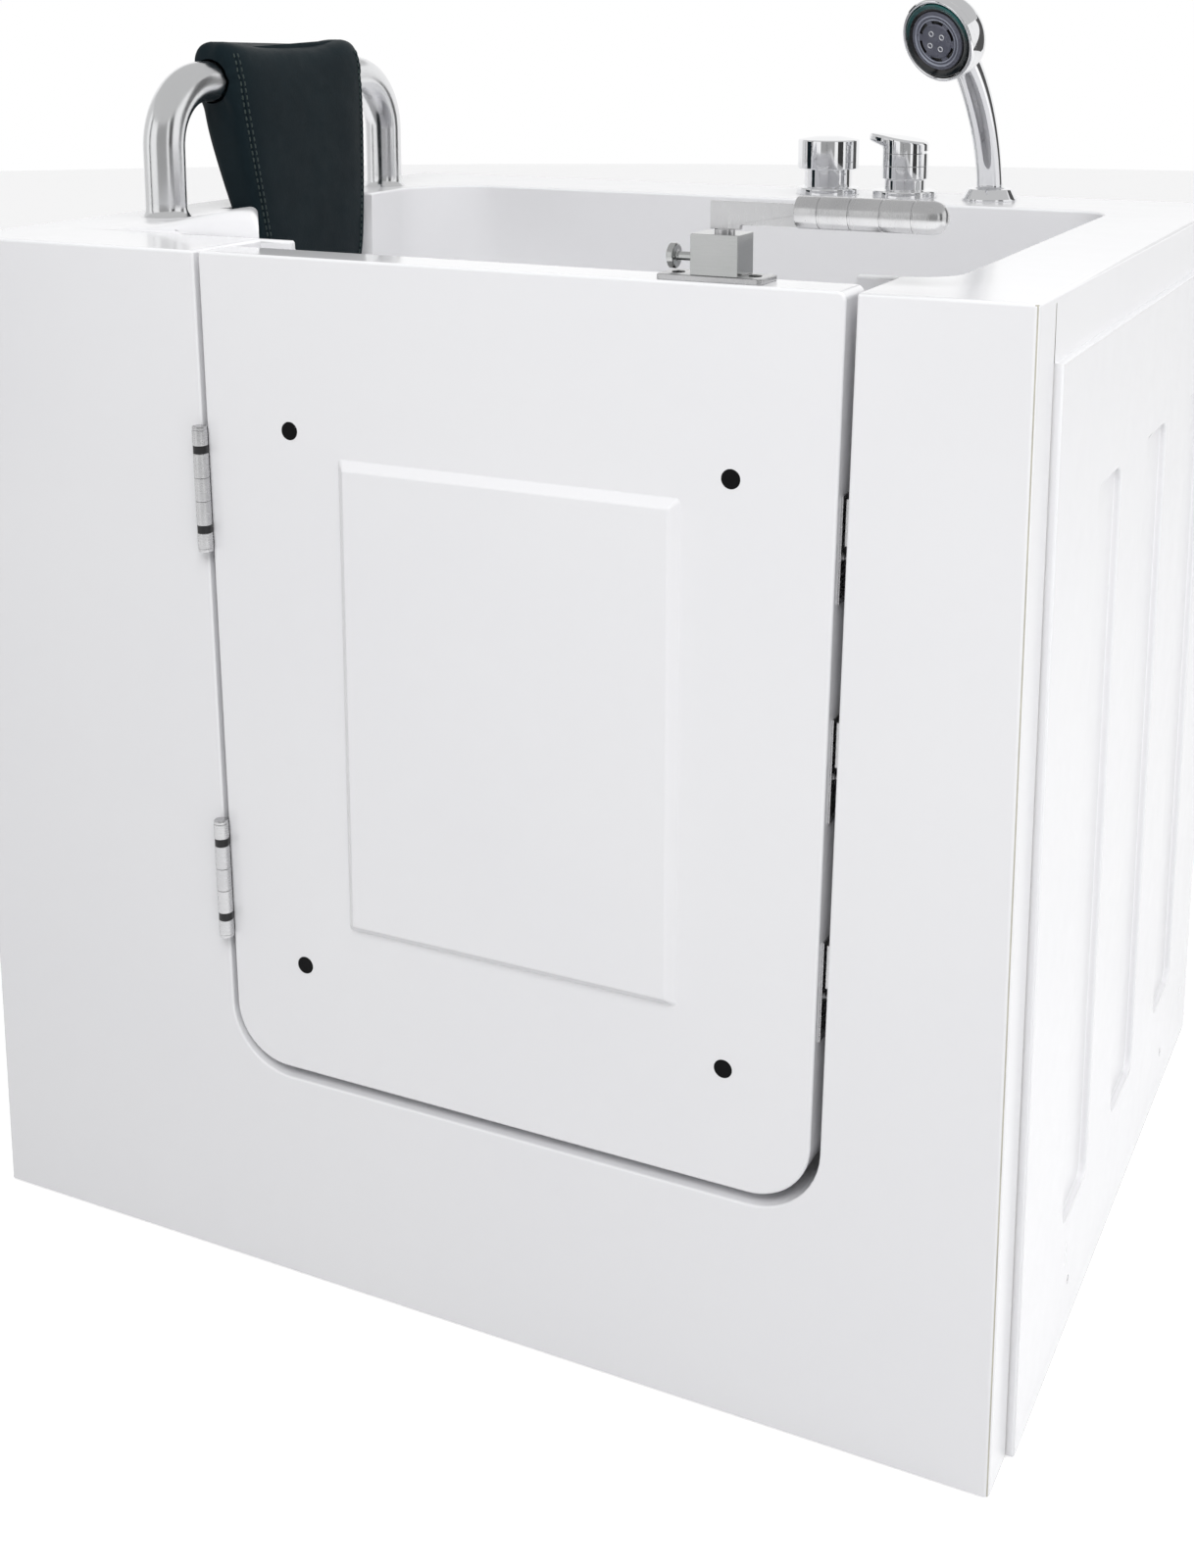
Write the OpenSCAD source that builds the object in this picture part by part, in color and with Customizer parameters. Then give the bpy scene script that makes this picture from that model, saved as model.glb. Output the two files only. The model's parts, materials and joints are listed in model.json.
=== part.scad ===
/* [Tub] */
// Width of the tub across its front
body_w = 1012; // [990:1:1060]
// Depth of the tub from front to back
body_d = 844; // [820:1:900]
// Height of the rim above the floor
rim_h = 965; // [945:1:1000]
// Wall of the moulded tub
wall = 6; // [5:0.5:7]
// Height of the turned-down edge of the rim
skirt_h = 51; // [40:1:60]
// Gap between the front apron and the floor
apron_lift = 2; // [1:0.5:6]
// Depth of the apron's returns along the sides
apron_return = 52; // [40:1:53]

/* [Basin] */
// Width of the deck on the right
deck_right = 95; // [92:1:110]
// Depth of the deck at the back
deck_back = 144; // [135:1:160]
// Width of the deck on the left
deck_left = 105; // [100:1:115]
// Depth of the deck in front of the seat
deck_front = 215; // [200:1:225]
// Length of the seat from left to right
seat_l = 400; // [370:1:420]
// Height of the seat above the floor
seat_h = 540; // [500:1:560]
// Height of the footwell's floor above the ground
floor_h = 110; // [106:1:125]
// Corner radius of the footwell
foot_r = 40; // [30:1:50]
// Corner radius of the basin round the seat
seat_r = 85; // [60:1:95]
// Height of the armrest's crown above the deck
arm_rise = 24; // [15:1:26]
// Width of the armrest's crown
arm_w = 100; // [90:1:105]
// How far the armrest's right end slants back to the left
arm_slant = 80; // [60:1:81]

/* [Doorway] */
// Left edge of the doorway at the rim, from the tub's left side
doorway_x = 274; // [268:1:282]
// Right edge of the doorway at the rim, from the tub's right side
doorway_in = 134.8; // [130:0.2:140]
// Height of the sill above the floor
sill_h = 201.8; // [195:0.2:215]
// Corner radius of the doorway
doorway_r = 62; // [58:1:70]
// Lean of the doorway's sides from upright, in degrees
lean = 1.09; // [0.8:0.01:1.4]
// Depth of the jamb from the front face to the door stop
jamb_depth = 100; // [100:1:106]
// Width of the door stop
stop_w = 34; // [34:1:40]

/* [Door] */
// Gap at the hinge side of the door
hinge_gap = 4.8; // [4.4:0.1:5.2]
// Gap at the latch side of the door
latch_gap = 8.4; // [8.2:0.1:9.2]
// Gap over the sill
sill_gap = 10.2; // [9:0.1:12]
// Thickness of the outer door shell
door_t = 45; // [45:1:46]
// Skin of the door shells
door_skin = 5; // [4.5:0.1:5]
// Corner radius of the door
door_r = 54; // [48:1:58]
// Radius of the door's upper corner on the latch side
top_corner_r = 6; // [3:0.5:8]
// Width of the raised panel
panel_w = 319; // [280:1:340]
// Height of the raised panel
panel_h = 432; // [380:1:460]
// Rise of the raised panel from the door's face
panel_rise = 7.6; // [7:0.1:9]
// Width of the raised panel's bevel
panel_bevel = 8.7; // [6:0.1:12]
// Distance of the inner door shell from the jamb
liner_gap = 20; // [19:0.5:20]
// Depth of the inner door shell behind the outer one
liner_d = 47; // [45:0.5:47]
// Depth of the door seal
seal_d = 7.7; // [7.5:0.1:7.9]
// Width of the door seal
seal_w = 11; // [8:0.5:12]
// Radius of the plugs over the door bolts
plug_r = 8; // [7.9:0.1:9]
// Distance of the left bolts from the raised panel's middle
bolt_left = 208.3; // [200:0.1:212]
// Distance of the right bolts from the raised panel's middle
bolt_right = 201.1; // [195:0.1:205]
// Distance of the lower bolts under the rim
bolt_low = 647; // [640:1:660]
// Distance of the upper bolts under the rim
bolt_high = 151; // [145:1:160]
// Distance of the raised panel's lower edge under the rim
panel_low = 602.5; // [590:0.5:610]

/* [Hinges] */
// Heights of the hinges' middles
hinge_heights = [389, 755];
// Radius of the hinge barrel
barrel_r = 6.75; // [6:0.05:7]
// Gap between the barrel and the tub's face
barrel_gap = 0.35; // [0.3:0.05:0.6]
// Radius of the hinge pins
hinge_pin_r = 3; // [2.5:0.1:3.4]
// Depth of a hinge leaf from the pin's axis
leaf_d = 42; // [38:0.5:44]
// Play of a turning pin in its bore
play = 0.05; // [0.03:0.01:0.08]

/* [Latch] */
// Heights of the three keepers' middles
keeper_heights = [399, 586, 765];
// Height of a keeper plate
keeper_h = 86; // [80:1:100]
// Distance of the latch spindle from the door's edge at the rim
spindle_in = 106.3; // [100:0.1:112]
// Distance of the latch's middle from the door's face
latch_y = 22.5; // [21:0.5:23]
// Radius of the latch spindle
spindle_r = 8; // [7:0.1:8.5]
// Module of the pinion and the rack
gear_m = 1.5; // [1.5:0.05:1.55]
// Number of pinion teeth
gear_n = 16; // [16:1:16]
// Height of the latch housing
housing_h = 32; // [30:0.5:35]
// Length of the latch grip
grip_l = 115.3; // [100:0.1:120]
// Radius of the latch grip
grip_r = 12.4; // [11:0.1:14]
// Travel of the lock knob
lock_travel = 6; // [5:0.1:6]

/* [Frame and feet] */
// Outside width of the square steel tube
tube = 30; // [28:1:32]
// Wall of the square steel tube
tube_t = 2; // [1.5:0.1:3]
// Radius of the foot pads
pad_r = 20; // [18:1:30]
// Radius of the levelling studs
stud_r = 6; // [5:0.5:6]

/* [Side panel] */
// How far the panel stands out from the tub
panel_proud = 7; // [6:0.5:12]
// Thickness of the panel's face
panel_face = 12; // [10:0.5:14]
// Depth of the panel's recessed fields
flute_d = 6; // [4:0.5:7]

/* [Grab rail and headrest] */
// Radius of the grab rail
rail_r = 21; // [18:0.5:21]
// Height of the rail's middle over the rim
rail_h = 133; // [125:1:150]
// Bend radius of the rail
rail_bend = 65; // [55:1:75]
// Distance between the rail's two legs
rail_span = 414; // [400:1:450]
// Distance of the rail from the tub's left side
rail_x = 62; // [60:1:64]
// Distance of the rail's middle from the front face
rail_y = 442; // [438:1:446]
// Width of the headrest at its top
rest_w = 236; // [216:1:244]
// Thickness of the headrest at its top
rest_t = 56.4; // [56:0.1:62]
// Length of the headrest from top to bottom
rest_l = 252; // [240:1:260]
// Wall of the headrest's inner sleeve
sleeve_t = 2; // [1.5:0.1:2.4]

/* [Taps and shower] */
// Distance of the taps from the back of the tub
tap_back = 69; // [68:1:72]
// Place of the diverter from the tub's left side
diverter_x = 580; // [575:1:585]
// Distance of the mixer from the diverter
mixer_dx = 91; // [88:1:98]
// Distance of the shower dock from the mixer
dock_dx = 97.2; // [90:0.2:108]
// Radius of the mixer body
mixer_r = 25.7; // [24:0.1:27]
// Radius of the diverter knob
knob_r = 34.75; // [32:0.25:37]
// Radius of the hand shower's head
head_r = 44; // [40:0.5:50]
// Radius of the hand shower's handle
handle_r = 15.5; // [14:0.5:16]
// Radius of the bends' middle line in the shower handle
handle_bend = 234; // [220:1:260]

/* [Waste and pipes] */
// Distance of the drain from the basin's right wall
drain_in = 137; // [120:1:150]
// Distance of the drain, overflow and filler from the front face
drain_y = 400; // [380:1:420]
// Height of the overflow under the rim
overflow_drop = 165; // [150:1:200]
// Height of the filler under the rim
filler_drop = 70; // [68:1:76]
// Radius of the overflow knob
overflow_r = 30; // [26:0.5:34]
// Lift of the drain stopper
stopper_lift = 10; // [8:0.5:12]
// Radius of the waste outlet pipe
outlet_r = 20; // [18:0.5:22]
// Radius of the water pipes
pipe_r = 6.5; // [6:0.1:7]

/* [Hidden] */
$fn = 48;

// Overlap of joined shapes and overshoot of cutting shapes
eps = 1;
// Gap between parts that move past each other
clear = 0.3;

// Main places of the tub
doorway_w = body_w - doorway_x - doorway_in;
basin_right = body_w - deck_right;
basin_back = body_d - deck_back;
seat_front = deck_left + seat_l;
jamb_back = jamb_depth + wall;
step_x = doorway_x - wall;
deck_under = rim_h - wall;
floor_under = floor_h - wall;
skirt_z = rim_h - skirt_h;
seam = 2;

// Door hinge axis in front of the face
hinge_y = -(barrel_r + barrel_gap);
hinge_front = barrel_r - hinge_y;
knuckles = [3.5, 14, 7, 22, 21, 22, 7, 14, 3.5];
barrel_l = 114;
leaf_play = 0.4;

// Small countersunk screws of the hinges, keepers and strips
screw_r = 1.5;
screw_head_r = 3;
screw_head_h = 1.4;
screw_l = 7;
screw_slack = 0.05;
leaf_screw_y = 24;
leaf_screw_z = 38;

// Latch parts
door_edge_top = doorway_x + doorway_w - latch_gap;
spindle_x = door_edge_top - spindle_in;
plate_t = 4.5;
plate_left = 50.5;
plate_right = 37.5;
plate_half = 18;
plate_screw_in = 12;
plate_screw_r = 2;
plate_screw_head_r = 5.2;
housing_left = 22;
housing_right = 17.2;
housing_half = 16;
housing_z = rim_h + plate_t;
housing_top = housing_z + housing_h;
spindle_rise = 3;
tenon_h = 5.4;
strip_t = 1.5;
strip_half = 13;
keeper_t = 2;
keeper_screw_y = latch_y + 6.5;
keeper_screw_z = 33;
lip_reach = 3.4;
lip_y = latch_y - 10;
lip_t = 4;
lip_z = 3;
lock_pin_r = 3.5;
lock_head_r = 4.5;
lock_reach = 5.2;
pin_drop = 8;
bar_gap = 0.5;
bar_t = 4;
bar_half = 8;
bar_below = 20;
bar_tab = 6;

// Pinion and rack
pitch_r = gear_m * gear_n / 2;
gear_play = 0.12;
base_r = pitch_r * cos(20);
tip_r = pitch_r + gear_m;
root_r = pitch_r - 1.25 * gear_m;
pinion_z = rim_h - 44;
pinion_h = 10;
tooth_pitch = PI * gear_m;
rack_y = latch_y + pitch_r;
rack_back = rack_y + 1.25 * gear_m;
rack_t = 5;
latch_travel = pitch_r * PI / 2;
cam_x = spindle_x + 60.5;
cam_z = rim_h - 60;
cam_pin_r = 3;
cam_slot_r = 3.5;
lug_t = 5;

// Frame places
frame_x0 = 12;
frame_x1 = body_w - 2 * tube;
frame_y0 = 15;
frame_y1 = body_d - 8 - tube;
rail_z = floor_under - tube;
cross_x = [frame_x0, deck_left + 7, seat_front - 75, seat_front + 55, frame_x1 - 102, frame_x1];
seat_post_y = [250, 650];
foot_x = [frame_x0 + tube / 2, seat_front - 5, frame_x1 + tube / 2];
foot_y = [frame_y0 + tube / 2, frame_y1 + tube / 2];
pad_h = 8;
stud_top = rail_z + 20;
tab_w = 30;
tab_t = 3;
tab_end = 14;

// Side panel fields and screws
panel_y0 = apron_return + seam;
panel_back = 18;
flutes = [[204, 294], [405, 501], [620, 712]];
flute_z0 = 121;
flute_z1 = rim_h - 177;
flute_r = 14;
panel_screw_y = [237, 678];
panel_screw_z = 50;
panel_screw_r = 2.2;
panel_screw_head = 4;

// Rail and headrest places
rail_z0 = rim_h;
rail_top = rim_h + rail_h;
rail_wall = 2;
rail_ends = [rail_y - rail_span / 2, rail_y + rail_span / 2];
rail_stud_r = 5;
rail_foot_t = 1.5;
rail_flare = 4.6;
rail_flare_h = 7;
rest_y = rail_y - 3;
niche_w = 228;
niche_h = 105;
niche_x = deck_left - 43;

// Taps
tap_y = body_d - tap_back;
mixer_x = diverter_x + mixer_dx;
dock_x = mixer_x + dock_dx;
shank_r = 16;
shank_z = rim_h - 60;
nut_h = 10;
nut_r = 24;
tail_dx = 8.5;
valve_r = 26;
valve_h = 45;
valve_top = rim_h - 40;
stem_r = 5;
stem_depth = 18;
flange_r = 36;
flange_h = 8;
knob_z = rim_h + 29.3;
knob_h = 36.3;
knob_crown = 4;
knob_crown_r = 20;
valve_body_r = knob_r - 8;
mixer_neck_r = mixer_r - 2.8;
mixer_neck_h = 21;
hub_z = rim_h + 35;
hub_h = 14;
ear_r = 3.8;
lever_pivot_dx = 19;
lever_pivot_z = hub_z + hub_h + 5;
lever_pin_r = 2;
ear_t = 12;
cartridge_r = 18.4;
lever_reach = 42;
lever_tip_half = 14;
dock_r = 30;
dock_top = rim_h + 13;
dock_bore = 12;
dock_tail = 75;
dock_plug = 20;

// Hand shower: lean of the handle at its foot and at the head, its turn in the dock, the head's
// place beyond the end of the bend, its tilt and its turn on the handle
lean_foot = 8.5;
lean_head = 45;
handset_turn = 9.3;
head_out = 56.8;
head_up = 35.3;
head_tilt = 17.5;
head_turn = 11.6;
head_t = 34;
face_r = 39;
face_t = 8;
nozzle_place = 9.2;

// Waste and water
drain_x = basin_right - drain_in;
drain_r = 24.5;
overflow_z = rim_h - overflow_drop;
filler_z = rim_h - filler_drop;
overflow_x = basin_right + wall + 16;
overflow_pipe_r = 12;
trap_z = 42;
outlet_end = body_d - 44;
outlet_l = 60;
tail_end = rim_h - 365;
tail_l = 50;
collar_w = 8;
collar_t = 1.5;
back_pipe_y = tap_y - 40;
trap_h = 24;
port_r = 10;
port_l = 4;
link_z = rim_h - 50;

// Puts the middle of the whole outline over the origin
module place()
    translate([-(body_w + panel_proud) / 2, (hinge_front - body_d) / 2, 0]) children();

module box(x0, x1, y0, y1, z0, z1)
    translate([x0, y0, z0]) cube([x1 - x0, y1 - y0, z1 - z0]);

module rod_x(x0, x1, y, z, r)
    translate([x0, y, z]) rotate([0, 90, 0]) cylinder(r = r, h = x1 - x0);

module rod_y(x, y0, y1, z, r)
    translate([x, y1, z]) rotate([90, 0, 0]) cylinder(r = r, h = y1 - y0);

module rod_z(x, y, z0, z1, r)
    translate([x, y, z0]) cylinder(r = r, h = z1 - z0);

// Outlines drawn as x and z, carried from y0 to y1
module slab_y(y0, y1)
    translate([0, y1, 0]) rotate([90, 0, 0]) linear_extrude(y1 - y0) children();

// Outlines drawn as y and z, carried from x0 to x1
module slab_x(x0, x1)
    translate([x0, 0, 0]) rotate([90, 0, 90]) linear_extrude(x1 - x0) children();

module round_rect(x0, y0, x1, y1, r) {
    translate([x0 + r, y0]) square([x1 - x0 - 2 * r, y1 - y0]);
    translate([x0, y0 + r]) square([x1 - x0, y1 - y0 - 2 * r]);
    for (x = [x0 + r, x1 - r], y = [y0 + r, y1 - r]) translate([x, y]) circle(r);
}

// Upright slot through a plate that faces x
module slot_x(x0, x1, y, z0, z1, r) {
    box(x0, x1, y - r, y + r, z0, z1);
    for (z = [z0, z1]) rod_x(x0, x1, y, z, r);
}

// Square steel tube; the ends are open
module tube_x(x0, x1, y, z) difference() {
    box(x0, x1, y, y + tube, z, z + tube);
    box(x0 - eps, x1 + eps, y + tube_t, y + tube - tube_t, z + tube_t, z + tube - tube_t);
}

module tube_y(x, y0, y1, z) difference() {
    box(x, x + tube, y0, y1, z, z + tube);
    box(x + tube_t, x + tube - tube_t, y0 - eps, y1 + eps, z + tube_t, z + tube - tube_t);
}

// Upright tube with a closed foot
module post(x, y, z0, z1) difference() {
    box(x, x + tube, y, y + tube, z0, z1);
    box(x + tube_t, x + tube - tube_t, y + tube_t, y + tube - tube_t, z0 + 3 * tube_t, z1 + eps);
}

module hex_nut(x, y, z0, z1, r, bore) difference() {
    translate([x, y, z0]) cylinder(r = r, h = z1 - z0, $fn = 6);
    rod_z(x, y, z0 - eps, z1 + eps, bore);
}

// Countersunk screw along +x with its head's face at x = 0
module flat_screw(slack = 0) rotate([0, 90, 0]) {
    cylinder(r1 = screw_head_r + slack, r2 = screw_r + slack, h = screw_head_h);
    cylinder(r = screw_r + slack, h = screw_l + slack);
}

// Sides of the doorway at height z, moved inwards by an inset
function jamb_left(z, inset = 0) = doorway_x + (rim_h - z) * tan(lean) + inset / cos(lean);
function jamb_right(z, inset = 0) =
    doorway_x + doorway_w - (rim_h - z) * tan(lean) - inset / cos(lean);

// The doorway's outline, moved inwards at the hinge side, latch side and sill
module doorway_outline(left, right, bottom, top_z, r) {
    z0 = sill_h + bottom;
    xl = jamb_left(z0 + r, left + r);
    xr = jamb_right(z0 + r, right + r);
    polygon([
        [jamb_left(top_z, left), top_z], [jamb_right(top_z, right), top_z],
        [xr + r * cos(lean), z0 + r - r * sin(lean)], [xr, z0],
        [xl, z0], [xl - r * cos(lean), z0 + r - r * sin(lean)]
    ]);
    for (x = [xl, xr]) translate([x, z0 + r]) circle(r);
}

module door_outline(inset, top_z)
    doorway_outline(hinge_gap + inset, latch_gap + inset, sill_gap + inset, top_z,
        door_r - inset);

// ---------- moulded tub ----------

// Slanting edge of the basin from the doorway to the seat, which ends the armrest
module slant_plan(o) {
    turn = atan(arm_slant / (deck_front - jamb_back));
    x0 = step_x - o / cos(turn);
    polygon([[x0 + o * tan(turn), jamb_back - o], [step_x + foot_r, jamb_back - o],
        [step_x + foot_r, deck_front + eps], [x0 - arm_slant - eps * tan(turn), deck_front + eps]]);
}

module basin_plan(o) {
    round_rect(step_x - o, jamb_back - o, basin_right + o, basin_back + o, foot_r + o);
    round_rect(deck_left - o, deck_front - o, seat_front + seat_r, basin_back + o, seat_r + o);
    slant_plan(o);
}

// Hollow of the basin, grown by o, with the seat as a shelf on the left
module basin(o, top) {
    translate([0, 0, seat_h - o]) linear_extrude(top - seat_h + o) basin_plan(o);
    translate([0, 0, floor_h - o]) linear_extrude(top - floor_h + o) intersection() {
        basin_plan(o);
        translate([seat_front - o, 0]) square([body_w, body_d]);
    }
}

// Way through the door stop: over the seat and over the sill
module stop_opening() intersection() {
    doorway_outline(stop_w, stop_w, stop_w, rim_h + eps, doorway_r - stop_w / 2);
    union() {
        translate([0, seat_h]) square([body_w, rim_h]);
        translate([seat_front, 0]) square([body_w, rim_h]);
    }
}

module niche(o, top)
    box(niche_x - o, deck_left + eps, rest_y - niche_w / 2 - o, rest_y + niche_w / 2 + o,
        rim_h - niche_h - o, top);

// Crowned armrest on the left deck, falling away to the left
module armrest(o) {
    r = (pow(arm_w / 2, 2) + pow(arm_rise, 2)) / (2 * arm_rise);
    arm_l = step_x - 63;
    fall = atan(arm_rise / arm_l);
    arm_y = (deck_front + jamb_back) / 2 - 4;
    intersection() {
        translate([step_x - 3, arm_y, rim_h + arm_rise - r]) rotate([0, -90 - fall, 0])
            translate([0, 0, -arm_w]) cylinder(r = r - o, h = arm_l + 2 * arm_w);
        box(step_x - 3 - arm_l, step_x - 3 - o, 0, body_d, deck_under - (o > 0 ? eps : 0),
            rim_h + 2 * arm_rise);
    }
}

module deck_holes() {
    for (x = [diverter_x, mixer_x, dock_x]) rod_z(x, tap_y, deck_under - eps, rim_h + eps, shank_r + 1);
    for (y = rail_ends) rod_z(rail_x, y, deck_under - eps, rim_h + eps, rail_stud_r + 0.5);
    rod_z(drain_x, drain_y, floor_under - eps, floor_h + eps, drain_r + 0.5);
    rod_x(basin_right - eps, basin_right + wall + eps, drain_y, overflow_z, shank_r + 4.5);
    rod_x(basin_right - eps, basin_right + wall + eps, drain_y, filler_z, 12.5);
}

module tub_shell() color("ghostwhite") place() difference() {
    union() {
        box(0, body_w, 0, body_d, deck_under, rim_h);
        for (x = [0, body_w - wall]) box(x, x + wall, panel_y0, body_d, skirt_z, rim_h);
        box(0, body_w, body_d - wall, body_d, skirt_z, rim_h);
        basin(wall, rim_h);
        slab_y(wall, jamb_back)
            doorway_outline(-wall, -wall, -wall, rim_h, doorway_r + wall);
        niche(wall, rim_h);
        armrest(0);
    }
    basin(0, rim_h + 3 * arm_rise);
    slab_y(-eps, jamb_depth) doorway_outline(0, 0, 0, rim_h + eps, doorway_r);
    slab_y(jamb_depth - eps, jamb_back + eps) stop_opening();
    niche(0, rim_h + eps);
    difference() {
        armrest(wall);
        basin(wall, rim_h + 3 * arm_rise);
    }
    deck_holes();
    jamb_screw_places() flat_screw(screw_slack);
}

module front_apron() color("white") place() difference() {
    union() {
        box(0, body_w, 0, wall, apron_lift, deck_under);
        for (x = [0, body_w - wall]) box(x, x + wall, 0, apron_return, apron_lift, deck_under);
    }
    slab_y(-eps, wall + eps) doorway_outline(0, 0, 0, rim_h, doorway_r);
    jamb_screw_places() flat_screw(screw_slack);
}

module side_panel() color("whitesmoke") place() difference() {
    box(body_w - panel_back, body_w + panel_proud, panel_y0, body_d, apron_lift, skirt_z);
    box(body_w - panel_back - eps, body_w + panel_proud - panel_face, panel_y0 + wall,
        body_d - wall, apron_lift + wall, skirt_z - wall);
    for (f = flutes) slab_x(body_w + panel_proud - flute_d, body_w + panel_proud + eps)
        round_rect(f[0], flute_z0, f[1], flute_z1, flute_r);
    panel_screw_places() {
        rod_x(-panel_face - eps, eps, 0, 0, panel_screw_r + 0.1);
        rod_x(-2, eps, 0, 0, panel_screw_head + 0.1);
    }
}

module panel_screw_places()
    for (y = panel_screw_y) translate([body_w + panel_proud, y, panel_screw_z]) children();

module side_panel_screws() color("gray") place() panel_screw_places() {
    rod_x(-2, 0, 0, 0, panel_screw_head);
    rod_x(-panel_face - 6, -2, 0, 0, panel_screw_r);
}

// ---------- steel frame and feet ----------

module foot_places() for (x = foot_x, y = foot_y) translate([x, y, 0]) children();

module frame_long_rails() color("silver") place() difference() {
    for (y = [frame_y0, frame_y1]) tube_x(frame_x0 + tube, frame_x1, y, rail_z);
    foot_places() rod_z(0, 0, rail_z - eps, rail_z + tube_t + eps, stud_r + 0.1);
}

module frame_cross_rails() color("silver") place() {
    for (x = cross_x) tube_y(x, frame_y0 + tube, frame_y1, rail_z);
    panel_x = body_w + panel_proud - panel_face;
    for (y = panel_screw_y) difference() {
        union() {
            box(frame_x1 + tube, panel_x, y - tab_w / 2, y + tab_w / 2, rail_z + 1,
                rail_z + 1 + tab_t);
            box(panel_x - tab_t, panel_x, y - tab_w / 2, y + tab_w / 2, panel_screw_z - tab_end,
                rail_z + 1 + tab_t);
        }
        rod_x(panel_x - 4, panel_x + eps, y, panel_screw_z, panel_screw_r + 0.1);
    }
}

module frame_posts() color("silver") place() {
    difference() {
        for (x = [frame_x0, frame_x1], y = [frame_y0, frame_y1]) post(x, y, rail_z, deck_under);
        foot_places() rod_z(0, 0, rail_z - eps, stud_top, stud_r + 0.1);
    }
    for (x = [cross_x[1], cross_x[2]], y = seat_post_y) post(x, y, floor_under, seat_h - wall);
}

module frame_top_rails() color("silver") place() {
    for (x = [frame_x0, frame_x1]) tube_y(x, frame_y0 + tube, frame_y1, deck_under - tube);
    tube_x(frame_x0 + tube, frame_x1, frame_y1, deck_under - tube);
}

module foot_pads() color("dimgray") place() foot_places() difference() {
    union() {
        rod_z(0, 0, 0, pad_h - 3, pad_r);
        translate([0, 0, pad_h - 3]) cylinder(r1 = pad_r, r2 = pad_r - 6, h = 3);
    }
    rod_z(0, 0, 3, pad_h + eps, stud_r);
}

module foot_studs() color("silver") place() foot_places() rod_z(0, 0, 3, stud_top, stud_r);

module foot_locknuts() color("silver") place()
    foot_places() hex_nut(0, 0, rail_z - 10, rail_z, 1.7 * stud_r, stud_r);

// ---------- door hinges ----------

function below(i) = i == 0 ? -barrel_l / 2 : below(i - 1) + knuckles[i - 1];

module at_hinges() for (z = hinge_heights)
    translate([jamb_left(z, hinge_gap / 2), hinge_y, z]) rotate([0, -lean, 0]) children();

// One ring of the barrel, shortened by trim at both ends
module knuckle(i, r, bore, trim = 0) translate([0, 0, below(i) + trim]) difference() {
    cylinder(r = r, h = knuckles[i] - 2 * trim);
    translate([0, 0, -eps]) cylinder(r = bore, h = knuckles[i] + 2 * eps);
}

// Leaf with its knuckles; side is -1 on the jamb and 1 on the door
module hinge_leaf(side, own, trim) {
    x_in = side * leaf_play;
    x_out = side * hinge_gap / 2;
    x0 = min(x_in, x_out);
    x1 = max(x_in, x_out);
    difference() {
        union() {
            box(x0, x1, barrel_r + clear, leaf_d, below(1), below(8));
            for (i = own) {
                knuckle(i, barrel_r, hinge_pin_r + play, trim);
                box(x0, x1, hinge_pin_r + 0.5, barrel_r + 2 * clear,
                    below(i) + trim, below(i + 1) - trim);
            }
        }
        leaf_screws(side) flat_screw(screw_slack);
    }
}

module leaf_screws(side) for (z = [-leaf_screw_z, 0, leaf_screw_z])
    translate([side * leaf_play, leaf_screw_y, z]) rotate([0, 0, side > 0 ? 0 : 180]) children();

module jamb_screw_places() {
    at_hinges() leaf_screws(-1) children();
    at_keepers() for (z = [-keeper_screw_z, keeper_screw_z])
        translate([-keeper_t, keeper_screw_y, z]) children();
}

module door_screw_places() {
    at_hinges() leaf_screws(1) children();
    at_strips() for (z = [-keeper_screw_z, keeper_screw_z])
        translate([strip_t, keeper_screw_y, z]) rotate([0, 0, 180]) children();
}

module hinge_jamb_leaves() color("gainsboro") place() at_hinges() hinge_leaf(-1, [1, 4, 7], 0);

module hinge_door_leaves() color("gainsboro") place() at_hinges() hinge_leaf(1, [3, 5], 0.15);

module hinge_bearings() color("gray") place() at_hinges()
    for (i = [2, 6]) knuckle(i, barrel_r - 0.25, hinge_pin_r);

module hinge_pins() color("lightgray") place() at_hinges() {
    translate([0, 0, -barrel_l / 2]) cylinder(r = hinge_pin_r, h = barrel_l);
    for (i = [0, 8]) translate([0, 0, below(i)]) cylinder(r = barrel_r - 0.25, h = knuckles[i]);
}

module jamb_screws() color("silver") place() jamb_screw_places() flat_screw();

module door_edge_screws() color("silver") place() door_screw_places() flat_screw();

// ---------- door ----------

panel_mid = (jamb_left(rim_h, hinge_gap) + door_edge_top) / 2 + 4.2;
bolt_x = [panel_mid - bolt_left, panel_mid + bolt_right];
bolt_z = [rim_h - bolt_low, rim_h - bolt_high];
panel_z0 = rim_h - panel_low;
boss_r = 13;
boss_y = 12;
bolt_r = 3;
seal_y = door_t + liner_d;

module bolt_places() for (x = bolt_x, z = bolt_z) translate([x, 0, z]) children();

// Raised panel with bevels on all four sides
module raised_panel() {
    x0 = panel_mid - panel_w / 2;
    z1 = panel_z0 + panel_h;
    steps = [[0, eps], [0, 0], [panel_bevel, -panel_rise]];
    points = [for (s = steps) each [
        [x0 + s[0], s[1], panel_z0 + s[0]], [x0 + panel_w - s[0], s[1], panel_z0 + s[0]],
        [x0 + panel_w - s[0], s[1], z1 - s[0]], [x0 + s[0], s[1], z1 - s[0]]
    ]];
    sides = [for (k = [0, 4], i = [0 : 3])
        [k + 4 + i, k + 4 + (i + 1) % 4, k + (i + 1) % 4, k + i]];
    polyhedron(points, concat(sides, [[0, 1, 2, 3], [11, 10, 9, 8]]));
}

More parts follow.
